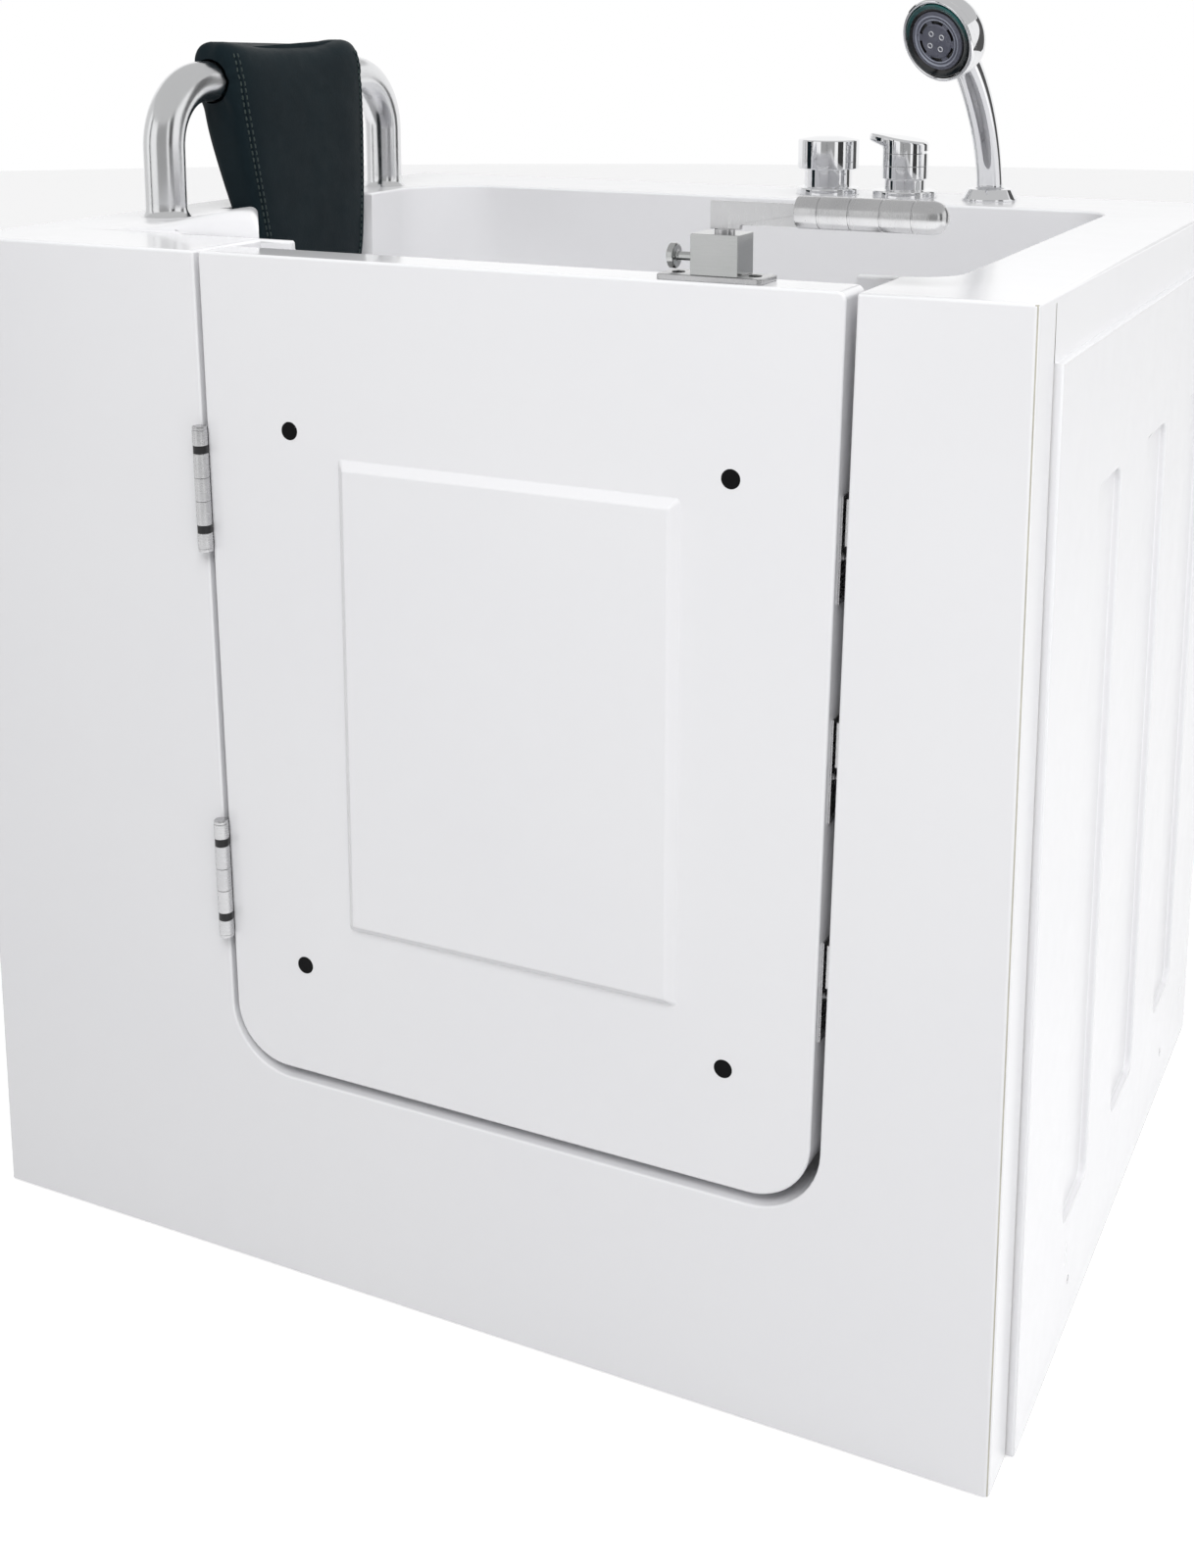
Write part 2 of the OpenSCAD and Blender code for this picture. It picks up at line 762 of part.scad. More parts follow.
module door_outer_shell() color("white") place() difference() {
    union() {
        difference() {
            slab_y(0, door_t) door_outline(0, rim_h);
            slab_y(door_skin, door_t + eps) door_outline(door_skin, rim_h - door_skin);
        }
        raised_panel();
        bolt_places() rod_y(0, door_skin - eps, boss_y, 0, boss_r);
    }
    slab_y(-eps, door_t + eps) translate([door_edge_top - top_corner_r, rim_h - top_corner_r])
        difference() {
            square(top_corner_r + eps);
            circle(top_corner_r);
        }
    box(panel_mid - panel_w / 2 + panel_bevel + door_skin,
        panel_mid + panel_w / 2 - panel_bevel - door_skin, door_skin - panel_rise,
        door_skin + eps, panel_z0 + panel_bevel + door_skin,
        panel_z0 + panel_h - panel_bevel - door_skin);
    bolt_places() {
        rod_y(0, -eps, 7, 0, plug_r - 0.2);
        rod_y(0, -eps, boss_y + eps, 0, bolt_r + 0.1);
    }
    rod_z(spindle_x, latch_y, rim_h - door_skin - eps, rim_h + eps, spindle_r + 0.5);
    plate_screw_places() rod_z(0, 0, rim_h - door_skin - eps, rim_h + eps, 2.1);
    at_strips() slot_x(-door_skin - eps, eps, latch_y, -pin_drop - 2,
        latch_travel - pin_drop + 2, lock_head_r + clear);
    door_screw_places() flat_screw(screw_slack);
}

// Inner shell: a flange inside the outer shell, a pan behind it and sockets for the bolts
module door_inner_shell() color("snow") place() {
    pan_r = doorway_r - liner_gap;
    pan_top = rim_h - 22;
    pan_back = door_t + liner_d;
    difference() {
        union() {
            slab_y(door_t - door_skin, door_t)
                door_outline(door_skin + 0.2, rim_h - door_skin - 0.2);
            slab_y(door_t - door_skin, pan_back)
                doorway_outline(liner_gap, liner_gap, liner_gap, pan_top, pan_r);
        }
        slab_y(door_t - door_skin - eps, pan_back - door_skin)
            doorway_outline(liner_gap + door_skin, liner_gap + door_skin,
                liner_gap + door_skin, pan_top - door_skin, pan_r - door_skin);
    }
    bolt_places() difference() {
        rod_y(0, boss_y, pan_back - door_skin + eps, 0, boss_r - 3);
        rod_y(0, boss_y - eps, pan_back - 2 * door_skin, 0, bolt_r + 0.1);
    }
}

// Doorway shape from y0 to y1, moved inwards by an inset on three sides
module doorway_slab(y0, y1, inset, top_z) {
    r = doorway_r - inset;
    z = sill_h + inset + r;
    xl = jamb_left(z, inset + r);
    xr = jamb_right(z, inset + r);
    slab_y(y0, y1) polygon([
        [jamb_left(top_z, inset), top_z], [jamb_right(top_z, inset), top_z],
        [xr + r * cos(lean), z - r * sin(lean)], [xr, z - r], [xl, z - r],
        [xl - r * cos(lean), z - r * sin(lean)]
    ]);
    for (x = [xl, xr]) rod_y(x, y0, y1, z, r);
}

module door_gasket() color("darkgray") place() difference() {
    doorway_slab(seal_y, seal_y + seal_d, liner_gap + 1, rim_h - 25);
    doorway_slab(seal_y - eps, seal_y + seal_d + eps, liner_gap + 1 + seal_w, rim_h);
}

module door_plugs() color("black") place() bolt_places() {
    rod_y(0, -0.6, 0, 0, plug_r);
    rod_y(0, -eps / 2, 2.6, 0, plug_r - 0.3);
}

module door_bolts() color("silver") place() bolt_places() {
    rod_y(0, 3, 7, 0, 6.5);
    rod_y(0, 7, door_t + liner_d - 2 * door_skin - 2, 0, bolt_r);
}

// ---------- latch ----------

module at_keepers() for (z = keeper_heights)
    translate([jamb_right(z), 0, z]) rotate([0, lean, 0]) children();

module at_door_edge(z)
    translate([jamb_right(z, latch_gap), 0, z]) rotate([0, lean, 0]) children();

module at_strips() for (z = keeper_heights) at_door_edge(z) children();

// Plate on the jamb with a lip that stands in front of the raised lock pin
module keepers() color("silver") place() difference() {
    at_keepers() {
        box(-keeper_t, 0, latch_y - strip_half, latch_y + strip_half, -keeper_h / 2, keeper_h / 2);
        box(-keeper_t - lip_reach, -keeper_t + eps / 2, lip_y, lip_y + lip_t, lip_z,
            keeper_h / 2 - 3);
    }
    jamb_screw_places() flat_screw(screw_slack);
}

module latch_face_strips() color("silver") place() difference() {
    at_strips() difference() {
        box(0, strip_t, latch_y - strip_half, latch_y + strip_half, -keeper_h / 2, keeper_h / 2);
        slot_x(-eps, strip_t + eps, latch_y, -pin_drop - 2, latch_travel - pin_drop + 2,
            lock_head_r + clear);
    }
    door_screw_places() flat_screw(screw_slack);
}

module plate_screw_places()
    for (x = [spindle_x - plate_left + plate_screw_in, spindle_x + plate_right - plate_screw_in])
    translate([x, latch_y, 0]) children();

module latch_base_plate() color("silver") place() difference() {
    translate([0, 0, rim_h]) linear_extrude(plate_t)
        round_rect(spindle_x - plate_left, latch_y - plate_half, spindle_x + plate_right,
            latch_y + plate_half, 4);
    rod_z(spindle_x, latch_y, rim_h - eps, housing_z + eps, spindle_r + 0.3);
    plate_screw_places() rod_z(0, 0, rim_h - eps, housing_z + eps, 2.1);
}

module latch_plate_screws() color("gray") place() plate_screw_places() {
    rod_z(0, 0, rim_h - door_skin - 6, housing_z, plate_screw_r);
    difference() {
        rod_z(0, 0, housing_z, housing_z + 1, plate_screw_head_r);
        rod_z(0, 0, housing_z + 0.3, housing_z + 2, 1.6);
    }
}

lock_z = housing_z + 12.5;
lock_tip = spindle_x - spindle_r - 0.6;

module latch_housing() color("silver") place() difference() {
    box(spindle_x - housing_left, spindle_x + housing_right, latch_y - housing_half,
        latch_y + housing_half, housing_z, housing_top);
    rod_z(spindle_x, latch_y, housing_z - eps, housing_top + eps, spindle_r + play);
    rod_x(spindle_x - housing_left - eps, spindle_x - spindle_r + 1, latch_y, lock_z,
        3.5 + play);
}

// Involute tooth of the pinion, along +x
function roll(a) = tan(a) * 180 / PI - a;
function flank(r) = 90 / gear_n - gear_play * 60 / pitch_r + roll(20) - roll(acos(base_r / r));

module pinion() {
    radii = [base_r, pitch_r - 0.2, pitch_r + 0.6, tip_r];
    side = [for (r = radii) [r * cos(flank(r)), r * sin(flank(r))]];
    circle(root_r);
    for (i = [0 : gear_n - 1]) rotate(90 + (i + 0.5) * 360 / gear_n)
        polygon(concat([[root_r - 1, -side[0][1]]], [for (p = side) [p[0], -p[1]]],
            [for (i = [len(side) - 1 : -1 : 0]) side[i]], [[root_r - 1, side[0][1]]]));
}

module latch_spindle() color("silver") place() difference() {
    union() {
        translate([spindle_x, latch_y, pinion_z]) linear_extrude(pinion_h) pinion();
        rod_z(spindle_x, latch_y, pinion_z, housing_top + spindle_rise, spindle_r);
    }
    box(spindle_x - 5.1, spindle_x + 5.1, latch_y - 2.6, latch_y + 2.6, housing_top - tenon_h - 0.1,
        housing_top + spindle_rise + eps);
    rod_x(spindle_x - spindle_r - eps, spindle_x - 1, latch_y, lock_z, 2.8);
    rod_y(spindle_x, latch_y + 1, latch_y + spindle_r + eps, lock_z, 2.8);
}

// Flat bar, cranked over the housing, with a tenon in the spindle and a tang in the grip
bar_z0 = housing_top + 6.8;
bar_z1 = housing_top + 24.5;
grip_x = spindle_x + 59.8;
grip_z = housing_top + 18.5;

module latch_lever() color("silver") place() {
    box(spindle_x - 11.5, spindle_x + 13.5, latch_y - 2.5, latch_y + 2.5,
        housing_top + spindle_rise, bar_z1);
    box(spindle_x - 5, spindle_x + 5, latch_y - 2.5, latch_y + 2.5, housing_top - tenon_h,
        housing_top + spindle_rise + 1);
    box(spindle_x + 12.5, grip_x, latch_y - 2.5, latch_y + 2.5, bar_z0, bar_z1);
    box(grip_x - eps, grip_x + 45, latch_y - 2.5, latch_y + 2.5, grip_z - 6, grip_z + 6);
}

module latch_grip() color("silver") place() difference() {
    union() {
        rod_x(grip_x, grip_x + grip_l - grip_r, latch_y, grip_z, grip_r);
        translate([grip_x + grip_l - grip_r, latch_y, grip_z]) sphere(grip_r);
    }
    box(grip_x - eps, grip_x + 45.1, latch_y - 2.55, latch_y + 2.55, grip_z - 6.05, grip_z + 6.05);
    for (i = [0 : 3]) translate([grip_x + grip_l * (0.16 + 0.21 * i), latch_y, grip_z])
        rotate([0, 90, 0]) difference() {
            cylinder(r = grip_r + eps, h = 1.6, center = true);
            cylinder(r = grip_r - 0.8, h = 3, center = true);
        }
}

module rack_tooth() {
    half = tooth_pitch / 4 - gear_play / 2;
    polygon([
        [-half + gear_m * tan(20), -gear_m], [half - gear_m * tan(20), -gear_m],
        [half + 1.3 * gear_m * tan(20), 1.3 * gear_m], [-half - 1.3 * gear_m * tan(20), 1.3 * gear_m]
    ]);
}

// Rack that the pinion draws sideways; its slanted slot lifts the lock bar
module latch_rack() color("silver") place() {
    slope = atan2(cos(lean), 1 + sin(lean));
    run = norm([1 + sin(lean), cos(lean)]) * latch_travel;
    translate([0, 0, pinion_z]) linear_extrude(pinion_h) {
        for (k = [-2 : 6]) translate([spindle_x + k * tooth_pitch, rack_y]) rack_tooth();
        translate([spindle_x - 3 * tooth_pitch, rack_back]) square([cam_x - spindle_x + 5, rack_t]);
    }
    difference() {
        box(cam_x - 11, cam_x + 26, rack_back, rack_back + rack_t, cam_z - 10, pinion_z + 13);
        translate([cam_x, 0, cam_z]) rotate([0, -slope, 0]) {
            box(0, run, rack_back - eps, rack_back + rack_t + eps, -cam_slot_r, cam_slot_r);
            for (x = [0, run]) rod_y(x, rack_back - eps, rack_back + rack_t + eps, 0, cam_slot_r);
        }
    }
}

bar_x1 = -door_skin - bar_gap;
bar_x0 = bar_x1 - bar_t;

module lock_bar() color("lightgray") place() {
    at_door_edge(keeper_heights[0])
        box(bar_x0, bar_x1, latch_y - bar_half, latch_y + bar_half, -bar_below,
            cam_z + 2 * bar_tab - keeper_heights[0]);
    box(cam_x - bar_tab, jamb_right(cam_z, latch_gap) + bar_x1 - 1, latch_y + bar_half - 0.5,
        rack_back - 2, cam_z - bar_tab, cam_z + bar_tab);
    rod_y(cam_x, rack_back - 3, rack_back + rack_t, cam_z, cam_pin_r);
}

module lock_pins() color("silver") place() at_strips() translate([0, 0, -pin_drop]) {
    rod_x(bar_x1, lock_reach - 1.5, latch_y, 0, lock_pin_r);
    rod_x(lock_reach - 1.5, lock_reach, latch_y, 0, lock_head_r);
}

// Brackets that carry the lock bar, and one that carries the rack
module latch_guides() color("gray") place() {
    for (z = [keeper_heights[0] + 93, keeper_heights[1] + 90, keeper_heights[2] + 75])
        at_door_edge(z) difference() {
            box(bar_x0 - 3.5, -door_skin, latch_y - bar_half - 4, latch_y + bar_half + 4, -12, 12);
            box(bar_x0 - 0.2, -door_skin + eps, latch_y - bar_half - 0.2,
                latch_y + bar_half + 0.2, -13, 13);
        }
    gx = spindle_x + 3.2 * tooth_pitch;
    difference() {
        box(gx, gx + 12, rack_back + 0.2, rack_back + rack_t + 3.2, pinion_z - 4,
            rim_h - 22 - door_skin);
        box(gx - eps, gx + 13, rack_back - eps, rack_back + rack_t + 0.2, pinion_z - 0.2,
            pinion_z + pinion_h + 0.2);
        box(gx - eps, gx + 13, rack_back - eps, rack_back + rack_t + 0.2,
            pinion_z + pinion_h + 4, rim_h);
    }
}

module lock_knob() color("silver") place() {
    x0 = spindle_x - 45.1;
    rod_x(x0, x0 + 6, latch_y, lock_z, 10);
    rod_x(x0 + 5, lock_tip - lock_travel - 1, latch_y, lock_z, 3.5);
    rod_x(lock_tip - lock_travel - 2, lock_tip, latch_y, lock_z, 2.5);
}

// ---------- grab rail and headrest ----------

module rail_leg(y, inward) {
    translate([rail_x, y, 0]) {
        difference() {
            union() {
                rod_z(0, 0, rail_z0, rail_z0 + rail_foot_t, rail_r + rail_flare);
                translate([0, 0, rail_z0 + rail_foot_t])
                    cylinder(r1 = rail_r + rail_flare, r2 = rail_r, h = rail_flare_h);
                rod_z(0, 0, rail_z0 + rail_foot_t + rail_flare_h, rail_top - rail_bend, rail_r);
            }
            rod_z(0, 0, rail_z0 + 8, rail_top - rail_bend + eps, rail_r - rail_wall);
        }
        rod_z(0, 0, rail_z0 - 30, rail_z0 + eps, rail_stud_r);
    }
    translate([rail_x, y + inward * rail_bend, rail_top - rail_bend])
        rotate([90, 0, inward > 0 ? -90 : 90]) rotate_extrude(angle = 90)
        translate([rail_bend, 0]) difference() {
            circle(rail_r);
            circle(rail_r - rail_wall);
        }
}

module grab_rail() color("silver") place() {
    rail_leg(rail_ends[0], 1);
    rail_leg(rail_ends[1], -1);
    difference() {
        rod_y(rail_x, rail_ends[0] + rail_bend, rail_ends[1] - rail_bend, rail_top, rail_r);
        rod_y(rail_x, rail_ends[0] + rail_bend - eps, rail_ends[1] - rail_bend + eps, rail_top,
            rail_r - rail_wall);
    }
}

module grab_rail_nuts() color("silver") place() for (y = rail_ends) {
    hex_nut(rail_x, y, deck_under - 10, deck_under - 2, 9, rail_stud_r);
    difference() {
        rod_z(rail_x, y, deck_under - 2, deck_under, 12);
        rod_z(rail_x, y, deck_under - 3, deck_under + eps, rail_stud_r);
    }
}

// Headrest: rings from the bottom (t = 0) to the top (t = 1), crowned at both ends
rest_top = rail_top + 34;
rest_rings = 22;
rest_sides = 32;
function swell(t) = pow(1 - pow(abs(2 * t - 1), 9), 0.36);
function bulge(v) = sign(v) * pow(abs(v), 0.42);
function mix(a, b, t) = a + (b - a) * t;
function rest_back(t) = rail_x - 28 + 56 * pow(1 - t, 1.55);
function rest_front(t) = rail_x - 28 + rest_t + 20 * pow(1 - t, 0.75) - 3 * pow(1 - t, 4);
function rest_half(t) = mix(88, rest_w / 2, pow(t, 0.7));
function rest_ring(t, s) = [for (i = [0 : rest_sides - 1])
    let (a = 360 * i / rest_sides, x = bulge(cos(a)) * s, y = bulge(sin(a)) * (0.9 + 0.1 * s))
    [(rest_front(t) + rest_back(t)) / 2 + x * (rest_front(t) - rest_back(t)) / 2,
        rest_y + y * rest_half(t),
        rest_top - rest_l * (1 - t) - 7 * pow(t, 6) * (1 - y * y)]];

module headrest_body() {
    ends = [for (k = [0 : rest_rings]) (1 - cos(180 * k / rest_rings)) / 2];
    levels = [for (t = ends) min(max(t, 0.002), 0.998)];
    points = [for (t = levels) each rest_ring(t, swell(t))];
    n = rest_sides;
    last = rest_rings * n;
    walls = [for (k = [0 : rest_rings - 1], i = [0 : n - 1])
        let (a = k * n + i, b = k * n + (i + 1) % n)
        each [[a, b + n, b], [a, a + n, b + n]]];
    caps = [for (i = [1 : n - 2]) each [[0, i, i + 1], [last, last + i + 1, last + i]]];
    polyhedron(points, concat(walls, caps));
}

module headrest_pad() color("darkslategray") place() difference() {
    headrest_body();
    rod_y(rail_x, rest_y - rest_w, rest_y + rest_w, rail_top, rail_r + play + sleeve_t);
}

module headrest_sleeve() color("black") place() difference() {
    rod_y(rail_x, rest_y - rest_w / 2 + 12, rest_y + rest_w / 2 - 12, rail_top,
        rail_r + play + sleeve_t);
    rod_y(rail_x, rest_y - rest_w, rest_y + rest_w, rail_top, rail_r + play);
}

// ---------- taps ----------

// Threaded shank under the deck with the tap's foot above it
module tap_foot(x, foot_r, foot_h, body_r, body_h) {
    rod_z(x, tap_y, rim_h, rim_h + foot_h, foot_r);
    rod_z(x, tap_y, rim_h + foot_h, rim_h + body_h, body_r);
}

module mixer_body() color("silver") place() difference() {
    union() {
        tap_foot(mixer_x, flange_r, flange_h, mixer_neck_r, mixer_neck_h + eps);
        rod_z(mixer_x, tap_y, rim_h + mixer_neck_h, hub_z - clear, mixer_r);
        rod_z(mixer_x, tap_y, shank_z, rim_h + eps, shank_r);
        rod_x(mixer_x - shank_r - port_l, mixer_x, tap_y, link_z, port_r);
    }
    rod_z(mixer_x, tap_y, rim_h + 8, hub_z, cartridge_r + 0.1);
    for (dx = [-tail_dx, tail_dx]) rod_z(mixer_x + dx, tap_y, shank_z - eps, rim_h + 9, 4);
}

module mixer_cartridge() color("ivory") place() {
    rod_z(mixer_x, tap_y, rim_h + 8, hub_z - clear - 1, cartridge_r);
    rod_z(mixer_x, tap_y, hub_z - 2, hub_z + hub_h - 4, stem_r);
}

module mixer_hub() color("silver") place() difference() {
    union() {
        rod_z(mixer_x, tap_y, hub_z, hub_z + hub_h, mixer_r);
        box(mixer_x + lever_pivot_dx - 6, mixer_x + lever_pivot_dx + 2.8, tap_y - ear_t / 2,
            tap_y + ear_t / 2, hub_z + hub_h - eps, lever_pivot_z);
        rod_y(mixer_x + lever_pivot_dx - 1, tap_y - ear_t / 2, tap_y + ear_t / 2, lever_pivot_z, ear_r);
    }
    rod_z(mixer_x, tap_y, hub_z - eps, hub_z + hub_h - 3, stem_r + play);
    rod_y(mixer_x + lever_pivot_dx - 1, tap_y - ear_t, tap_y + ear_t, lever_pivot_z,
        lever_pin_r + play);
}

// Lever: a wedge over the hub that straddles its ear on a cross pin
module mixer_lever() color("silver") place() {
    z0 = hub_z + hub_h + clear;
    difference() {
        intersection() {
            translate([mixer_x, tap_y + mixer_r + eps, z0]) rotate([90, 0, 0])
                linear_extrude(2 * (mixer_r + eps)) polygon([
                    [-mixer_r, 0], [lever_pivot_dx - 1, 0], [mixer_r + eps, 4.2],
                    [mixer_r + eps, 7], [mixer_r - 1.2, 10], [mixer_r - 5, 12.7], [5, 16.8],
                    [4 - lever_reach, 21.3], [1 - lever_reach, 19.5], [-lever_reach, 16],
                    [3 - lever_reach, 12], [-mixer_r - 3, 6], [-mixer_r - eps, 5]
                ]);
            translate([mixer_x, tap_y, z0 - eps]) linear_extrude(30) {
                circle(mixer_r);
                round_rect(-lever_reach, -lever_tip_half, 0, lever_tip_half, 9);
            }
        }
        box(mixer_x + lever_pivot_dx - 11, mixer_x + lever_pivot_dx + 4.8,
            tap_y - ear_t / 2 - clear, tap_y + ear_t / 2 + clear, z0 - eps, lever_pivot_z + ear_r + 0.7);
    }
    rod_y(mixer_x + lever_pivot_dx - 1, tap_y - 12, tap_y + 12, lever_pivot_z, lever_pin_r);
}

module mixer_valve_nut() color("goldenrod") place() for (x = [diverter_x, mixer_x, dock_x])
    hex_nut(x, tap_y, deck_under - nut_h, deck_under, nut_r, shank_r);

module diverter_base() color("silver") place() difference() {
    union() {
        tap_foot(diverter_x, flange_r, flange_h, valve_body_r, knob_z - rim_h - clear);
        rod_z(diverter_x, tap_y, valve_top, rim_h + eps, shank_r);
    }
    rod_z(diverter_x, tap_y, valve_top - eps, knob_z, stem_r + play);
}

module diverter_valve() color("goldenrod") place() difference() {
    union() {
        rod_z(diverter_x, tap_y, valve_top - valve_h, valve_top, valve_r);
        rod_x(diverter_x, diverter_x + valve_r + port_l, tap_y, link_z, port_r);
        rod_y(diverter_x, tap_y - valve_r - port_l, tap_y, filler_z, port_r);
    }
    rod_z(diverter_x, tap_y, valve_top - stem_depth - 2, valve_top + eps, stem_r + play);
}

module diverter_knob() color("silver") place() {
    rod_z(diverter_x, tap_y, knob_z, knob_z + knob_h - knob_crown, knob_r);
    translate([diverter_x, tap_y, knob_z + knob_h - knob_crown])
        cylinder(r1 = knob_r, r2 = knob_r - knob_crown_r, h = knob_crown);
    rod_z(diverter_x, tap_y, valve_top - stem_depth, knob_z + eps, stem_r);
}

module shower_dock() color("silver") place() difference() {
    union() {
        translate([dock_x, tap_y, rim_h]) cylinder(r1 = dock_r, r2 = dock_r - 6, h = dock_top - rim_h);
        rod_z(dock_x, tap_y, rim_h - dock_tail, rim_h + eps, shank_r);
    }
    rod_z(dock_x, tap_y, rim_h - dock_tail - eps, dock_top + eps, dock_bore + play);
}

// Hand shower: handle bends forward from the dock up to the head
bend_dy = handle_bend * (cos(lean_foot) - cos(lean_head));
bend_dz = handle_bend * (sin(lean_head) - sin(lean_foot));
head_reach = bend_dy + head_out;
head_z = dock_top + bend_dz + head_up;

module in_dock() translate([dock_x, tap_y, 0]) rotate([0, 0, -handset_turn]) children();
module at_head() in_dock() translate([0, -head_reach, head_z]) rotate([0, 0, -head_turn])
    rotate([90 + head_tilt, 0, 0]) children();

module hand_shower() color("silver") place() difference() {
    union() {
        rod_z(dock_x, tap_y, rim_h - dock_plug, dock_top + 2, dock_bore);
        difference() {
            union() {
                translate([dock_x, tap_y, dock_top + 2]) sphere(handle_r);
                in_dock() translate([0, -handle_bend * cos(lean_foot),
                    dock_top - handle_bend * sin(lean_foot)])
                    rotate([0, 0, 90]) rotate([90, 0, 0]) rotate([0, 0, lean_foot])
                    rotate_extrude(angle = lean_head - lean_foot + 12)
                    translate([handle_bend, 0]) circle(handle_r);
            }
            box(dock_x - 40, dock_x + 40, tap_y - 60, tap_y + 40, rim_h - 60, dock_top + clear);
        }
        at_head() {
            translate([0, 0, -head_t / 2 - 6]) cylinder(r1 = head_r - 10, r2 = head_r, h = 10);
            translate([0, 0, 4 - head_t / 2]) cylinder(r = head_r, h = head_t - 4);
        }
    }
    at_head() {
        translate([0, 0, head_t / 2 - face_t]) cylinder(r = face_r + clear, h = face_t + eps);
        translate([0, 0, -4]) cylinder(r = 6 + play, h = head_t);
    }
}

module spray_face() color("black") place() at_head() {
    translate([0, 0, head_t / 2 - face_t + 0.2]) cylinder(r = face_r, h = face_t + 0.8);
    translate([0, 0, -3]) cylinder(r = 6, h = head_t / 2 - face_t + 4);
    for (a = [0 : 90 : 270]) rotate([0, 0, a + 28]) translate([nozzle_place, 0, head_t / 2])
        cylinder(r = 3.1, h = 1.8);
}

// ---------- water and waste ----------

module elbow(x, y, z, r) translate([x, y, z]) sphere(r);

// Supply tails, each with a collar that stops the joining nut
module supply_pipes() color("peru") place() for (dx = [-tail_dx, tail_dx]) {
    rod_z(mixer_x + dx, tap_y, tail_end, shank_z, pipe_r);
    rod_z(mixer_x + dx, tap_y, tail_end + tail_l, tail_end + tail_l + collar_w,
        pipe_r + collar_t);
}

module mixed_water_pipe() color("peru") place() {
    r = pipe_r + 1.5;
    rod_x(diverter_x + valve_r + port_l, mixer_x - shank_r - port_l, tap_y, link_z, r);
    rod_y(diverter_x, back_pipe_y, tap_y - valve_r - port_l, filler_z, r);
    elbow(diverter_x, back_pipe_y, filler_z, r);
    rod_x(diverter_x, overflow_x, back_pipe_y, filler_z, r);
    elbow(overflow_x, back_pipe_y, filler_z, r);
    rod_y(overflow_x, drain_y, back_pipe_y, filler_z, r);
    elbow(overflow_x, drain_y, filler_z, r);
    rod_x(overflow_x - port_r, overflow_x, drain_y, filler_z, r);
}

module filler_spout() color("silver") place() {
    rod_x(basin_right - 6, basin_right, drain_y, filler_z, 28);
    rod_x(basin_right - 70, overflow_x - port_r, drain_y, filler_z, 12);
    elbow(basin_right - 70, drain_y, filler_z, 12);
    rod_z(basin_right - 70, drain_y, filler_z - 26, filler_z, 12);
}

module overflow_body() color("silver") place() difference() {
    union() {
        rod_x(basin_right - 6, basin_right, drain_y, overflow_z, overflow_r + 5);
        rod_x(basin_right, overflow_x + overflow_pipe_r, drain_y, overflow_z, shank_r + 4);
        rod_z(overflow_x, drain_y, overflow_z - shank_r - 2 * port_l, overflow_z,
            overflow_pipe_r);
    }
    rod_x(basin_right - 7, basin_right + 15, drain_y, overflow_z, stem_r + play);
    rod_x(basin_right + 9, overflow_x + 8, drain_y, overflow_z, shank_r);
}

module overflow_knob() color("gainsboro") place() {
    rod_x(basin_right - 21, basin_right - 6 - clear, drain_y, overflow_z, overflow_r);
    rod_x(basin_right - 7, basin_right + 8, drain_y, overflow_z, stem_r);
    box(basin_right - 27, basin_right - 20, drain_y - 5, drain_y + 5, overflow_z - 24,
        overflow_z + 24);
}

module overflow_pipe() color("lightgray") place() {
    rod_z(overflow_x, drain_y, trap_z, overflow_z - shank_r - 2 * port_l, overflow_pipe_r);
    elbow(overflow_x, drain_y, trap_z, overflow_pipe_r);
    rod_x(drain_x + outlet_r + 3 * port_l, overflow_x, drain_y, trap_z, overflow_pipe_r);
}

module drain_flange() color("silver") place() {
    difference() {
        union() {
            rod_z(drain_x, drain_y, floor_h, floor_h + 2.5, drain_r + 12);
            rod_z(drain_x, drain_y, trap_z + trap_h, floor_h + eps, drain_r);
        }
        rod_z(drain_x, drain_y, trap_z + trap_h - eps, floor_h + 4, drain_r - 4);
    }
    difference() {
        box(drain_x - drain_r + 2, drain_x + drain_r - 2, drain_y - 7, drain_y + 7,
            floor_under - 16, floor_under - 10);
        rod_z(drain_x, drain_y, floor_under - 17, floor_under, 4 + play);
    }
}

module drain_stopper() color("silver") place() {
    rod_z(drain_x, drain_y, floor_h + 2.5 + clear, floor_h + 6, drain_r + 1);
    translate([drain_x, drain_y, floor_h + 6]) cylinder(r1 = drain_r + 1, r2 = drain_r - 7, h = 4);
    rod_z(drain_x, drain_y, floor_under - 26, floor_h + 4, 4);
}

module waste_trap() color("lightgray") place() difference() {
    union() {
        rod_z(drain_x, drain_y, trap_z, trap_z + trap_h, outlet_r + 2);
        elbow(drain_x, drain_y, trap_z, outlet_r + 2);
        rod_x(drain_x, drain_x + outlet_r + 3 * port_l, drain_y, trap_z, overflow_pipe_r + 2);
        rod_y(drain_x, drain_y, outlet_end, trap_z, outlet_r);
        rod_y(drain_x, outlet_end - outlet_l - collar_w, outlet_end - outlet_l, trap_z,
            outlet_r + collar_t);
    }
    rod_z(drain_x, drain_y, trap_z, trap_z + trap_h + eps, outlet_r - 2);
    elbow(drain_x, drain_y, trap_z, outlet_r - 2);
    rod_y(drain_x, drain_y, outlet_end + eps, trap_z, outlet_r - 3);
}

